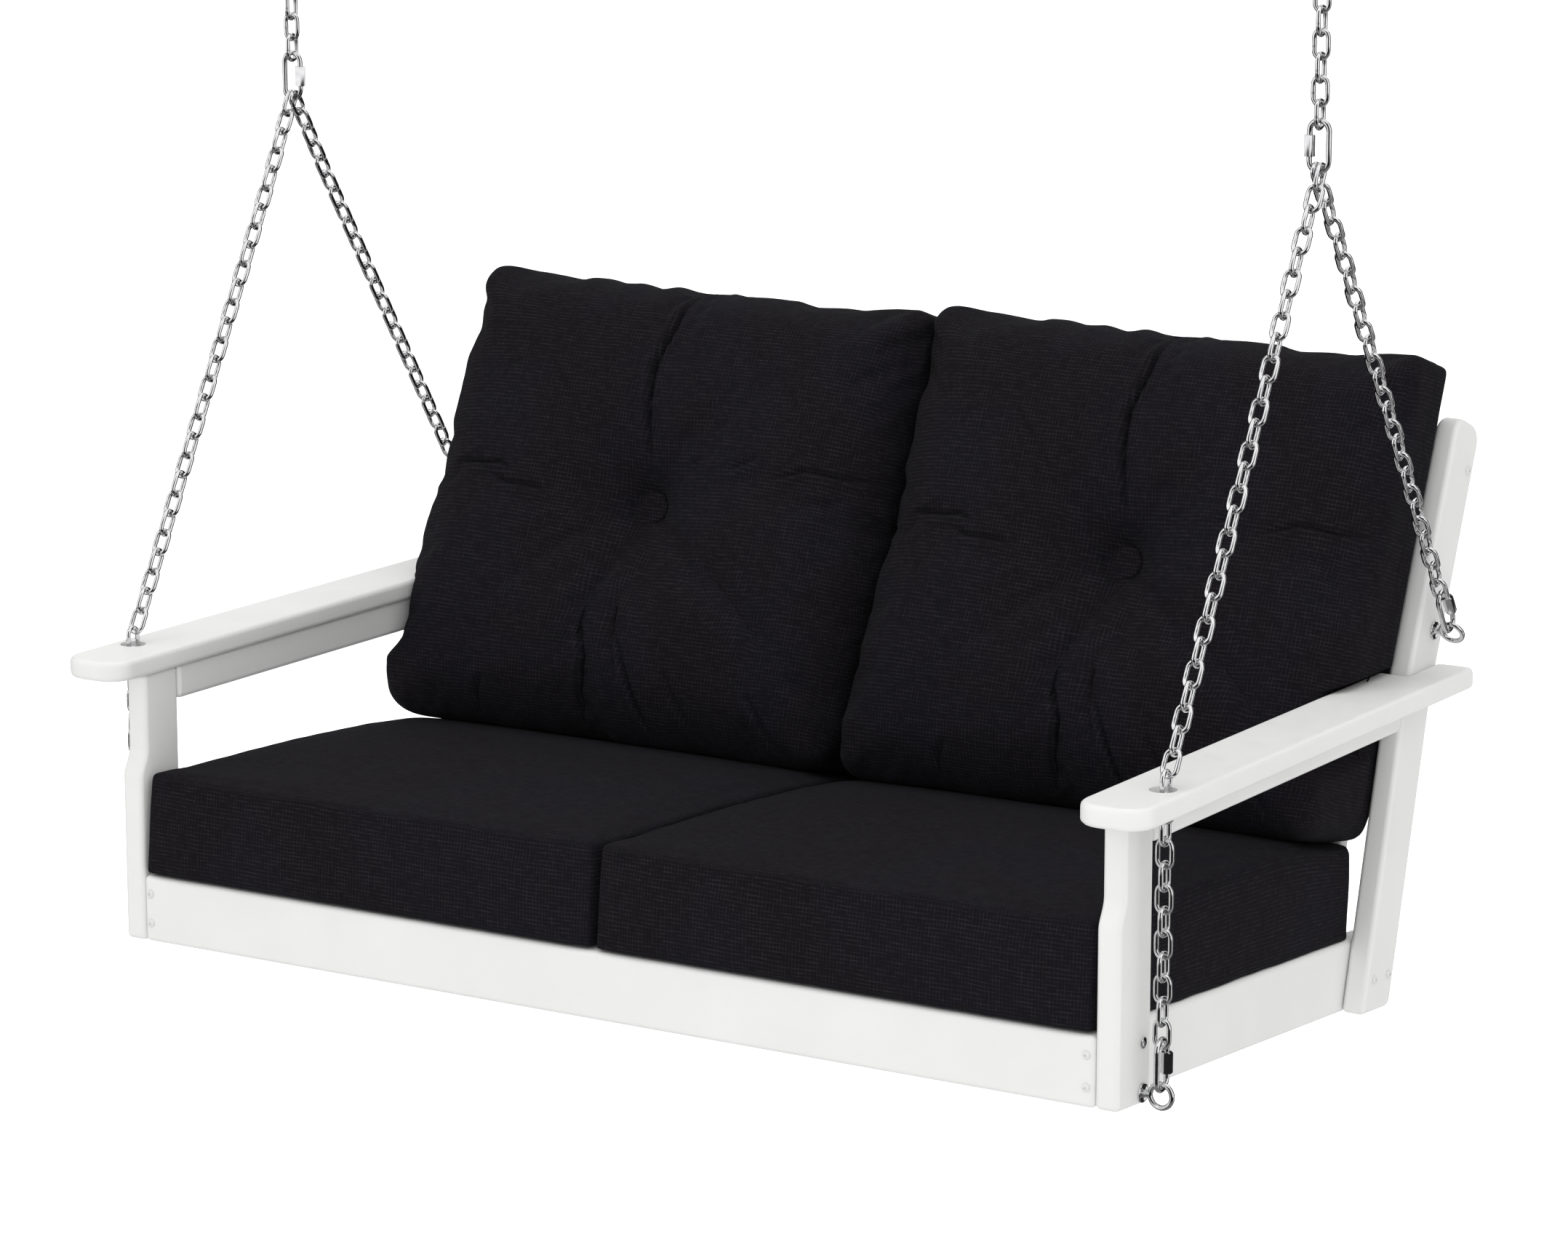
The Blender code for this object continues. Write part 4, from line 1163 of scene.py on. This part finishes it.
def finish_back_cushion(side, sign, source, points, half, middle, axes, origin):
    cad_low, cad_high = extent(f"back_cushion_{side}", axes)
    middle_x = (cad_low[0] + cad_high[0]) / 2 + sign * 0.0145
    slacken(points, sign, half, middle)
    front = smooth_step((-points[:, 1] / thickness_at(points[:, 2]) - 0.45) / 0.35)
    points[:, 1] += hollow_depth(points) * front
    fold(points, front)
    centred = points.copy()
    centred[:, 2] -= middle
    gather = edge_gathers(centred, half, 0.032, 3.7, 0.8)
    outward = centred * np.array([1, 0, 1])
    outward /= np.maximum(np.linalg.norm(outward, axis=1, keepdims=True), 1e-9)
    points += outward * (gather * 0.0065)[:, None]
    points[:, 1] += gather * 0.0040 * front
    points = press(points, sign, middle_x, 0.0006, axes, origin)
    points = rest_on_seat(points, middle_x, axes, origin)

    matrix = rotation_to(*axes, Vector(origin) + axes[0] * middle_x)
    piece = place_cover(source, side, "back_cushion", points, matrix)
    body = f"{side}_back_cushion"
    make_button(side, piece, matrix, body)
    rim = [
        Vector((point.x, -0.45 * thickness_at(point.y + middle), point.y + middle))
        for point in rectangle_rim(half[0] + 0.02, half[2] + 0.02, 0.05, 0.0, 320)
    ]
    above_arm = [(matrix @ point).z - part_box("armrest_right")[1].z for point in rim]
    insets = [0.0005 + 0.010 * bell((height - 0.004) / 0.024) for height in above_arm]
    cord_around(f"back_seam_{side}", piece.data, rim, insets, body, matrix)


def make_button(side, cushion, matrix, body):
    """A fabric-covered button that sits in the tuft and follows its slope."""
    start = Vector((0.002, -0.5, BUTTON_HEIGHT))
    hit, _, _, _ = surface_tree(cushion.data).ray_cast(start, Y_AXIS)
    profile = [(0.0, 0.0082), (BUTTON_RADIUS * 0.45, 0.0079)]
    for step in range(9):
        angle = math.pi / 2 * (1 - step / 8)
        radius = BUTTON_RADIUS - 0.005 + 0.005 * math.cos(angle)
        profile.append((radius, 0.0025 + 0.0048 * math.sin(angle)))
    profile += [(BUTTON_RADIUS * 0.97, 0.0), (BUTTON_RADIUS * 0.88, -0.002), (0.0, -0.004)]
    bm = turned(profile, 40)
    weave = bm.loops.layers.uv.new("weave")
    for face in bm.faces:
        for loop in face.loops:
            loop[weave].uv = (loop.vert.co.x + 0.2, loop.vert.co.y + 0.4)
    facing = (-Y_AXIS).to_track_quat("Z", "Y").to_matrix().to_4x4()
    local = Matrix.Translation(hit - Y_AXIS * 0.0015) @ facing
    button = make_piece(f"tuft_button_{side}", bm, FABRIC, matrix @ local)
    button.data.shade_smooth()
    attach(button, body)


# ---------------------------------------------------------------- studio

def make_floor():
    bm = bmesh.new()
    bmesh.ops.create_grid(bm, x_segments=8, y_segments=8, size=30)
    mesh = bpy.data.meshes.new("studio_floor")
    bm.to_mesh(mesh)
    bm.free()
    floor = bpy.data.objects.new("studio_floor", mesh)
    floor.location.z = CAD_BOX[0].z - FLOOR_DROP
    show(floor)
    material, tree, shader = new_material("studio_floor", Roughness=0.9, Specular_IOR_Level=0.0)
    place = place_in(tree)
    cloud = noise_field(tree, place, 0.5, 2.0)
    colour = blend_colours(tree, cloud, (0.93, 0.93, 0.93), (0.95, 0.95, 0.95))
    seen = add_node(tree, "ShaderNodeLightPath").outputs["Is Camera Ray"]
    glow = arithmetic(tree, "MULTIPLY", seen, 0.6)
    connect(tree, shader, Base_Color=colour, Emission_Color=colour, Emission_Strength=glow)
    mesh.materials.append(material)
    floor.visible_glossy = False


# What polished metal reflects round the horizon, from low and from high up: (degrees, brightness)
LOW_BANDS = ((-180, 0.90), (-118, 0.90), (-110, 0.02), (-44, 0.02), (-40, 1.20), (-30, 1.20), (-26, 0.02),
             (94, 0.02), (99, 1.40), (114, 1.40), (119, 0.02), (158, 0.02), (166, 0.90), (180, 0.90))
HIGH_BANDS = ((-180, 0.80), (-134, 0.80), (-126, 0.02), (-84, 0.02), (-76, 1.20), (-10, 1.10), (-2, 0.02),
              (44, 0.02), (52, 0.90), (92, 1.20), (108, 1.20), (114, 0.02), (164, 0.02), (172, 0.80))


def band_ramp(tree, share, bands):
    ramp = add_node(tree, "ShaderNodeValToRGB", {"Fac": share})
    stops = ramp.color_ramp.elements
    while len(stops) < len(bands):
        stops.new(0.5)
    for stop, (degrees, brightness) in zip(stops, bands):
        stop.position = (degrees + 180) / 360
        stop.color = (brightness, brightness, brightness, 1)
    return ramp.outputs["Color"]


def studio_bands(tree, axes):
    """Upright lamps and dark gaps, with a bright ceiling and a grey floor."""
    x, y, height = (axes.outputs[axis] for axis in "XYZ")
    turn = arithmetic(tree, "ARCTAN2", x, arithmetic(tree, "MULTIPLY", y, -1.0))
    share = remap(tree, turn, -math.pi, math.pi, 0.0, 1.0)
    low, high = (band_ramp(tree, share, bands) for bands in (LOW_BANDS, HIGH_BANDS))
    room = blend_colours(tree, remap(tree, height, -0.19, -0.11, 0.0, 1.0), low, high)
    room = blend_colours(tree, remap(tree, height, 0.62, 0.74, 0.0, 1.0), room, (1.1, 1.1, 1.1))
    return blend_colours(tree, remap(tree, height, -0.50, -0.62, 0.0, 1.0), room, (0.22, 0.22, 0.22))


def make_world():
    """A white room, a little brighter overhead. Polished metal sees lamps and dark gaps instead."""
    world = bpy.data.worlds.new("studio")
    bpy.context.scene.world = world
    world.use_nodes = True
    tree = world.node_tree
    background = tree.nodes["Background"]
    direction = add_node(tree, "ShaderNodeTexCoord").outputs["Generated"]
    axes = add_node(tree, "ShaderNodeSeparateXYZ", {"Vector": direction})
    ray = add_node(tree, "ShaderNodeLightPath")
    glossy = ray.outputs["Is Glossy Ray"]
    colour = blend_colours(tree, glossy, (1.0, 1.0, 1.0), studio_bands(tree, axes))
    room = remap(tree, axes.outputs["Z"], -1.0, 1.0, 0.20, 1.22)
    seen = arithmetic(tree, "MAXIMUM", ray.outputs["Is Camera Ray"], glossy)
    connect(tree, background, Color=colour, Strength=blend_values(tree, seen, room, 1.05))


def make_lamp(name, place, target, size, power):
    light = bpy.data.lights.new(name, "AREA")
    light.size = size
    light.energy = power
    lamp = bpy.data.objects.new(name, light)
    lamp.location = place
    lamp.rotation_euler = (Vector(target) - Vector(place)).to_track_quat("-Z", "Y").to_euler()
    lamp.visible_glossy = False
    show(lamp)


def make_camera():
    """Seen from the right front, a little above the arms."""
    data = bpy.data.cameras.new("camera")
    data.lens = 120
    data.sensor_width = 36
    camera = bpy.data.objects.new("camera", data)
    azimuth, elevation, distance = math.radians(31.82), math.radians(11.97), 6.157
    back = Vector((
        math.sin(azimuth) * math.cos(elevation),
        -math.cos(azimuth) * math.cos(elevation),
        math.sin(elevation),
    ))
    target = Vector((0.0398, 0.3353, 0.4003))
    camera.location = target + back * distance
    camera.rotation_euler = (-back).to_track_quat("-Z", "Y").to_euler()
    show(camera)
    bpy.context.scene.camera = camera


def build():
    for node in board_nodes():
        finish_board(node)
    make_screws()
    for side, sign in SIDES:
        make_chains(side, sign)
        make_quick_links(side, sign)
        make_eye_bolt("front", side, sign)
        make_eye_bolt("rear", side, sign)
        make_hanger(side)
    make_seat_cushions()
    make_back_cushions()
    make_floor()
    make_world()
    seat = (0.0, 0.3, 0.3)
    make_lamp("key", (-1.2, -0.6, 4.2), seat, 2.0, 12)
    make_lamp("front", (2.4, -4.6, 1.5), seat, 2.2, 34)
    make_camera()
    bpy.context.scene.view_settings.view_transform = "Standard"


build()
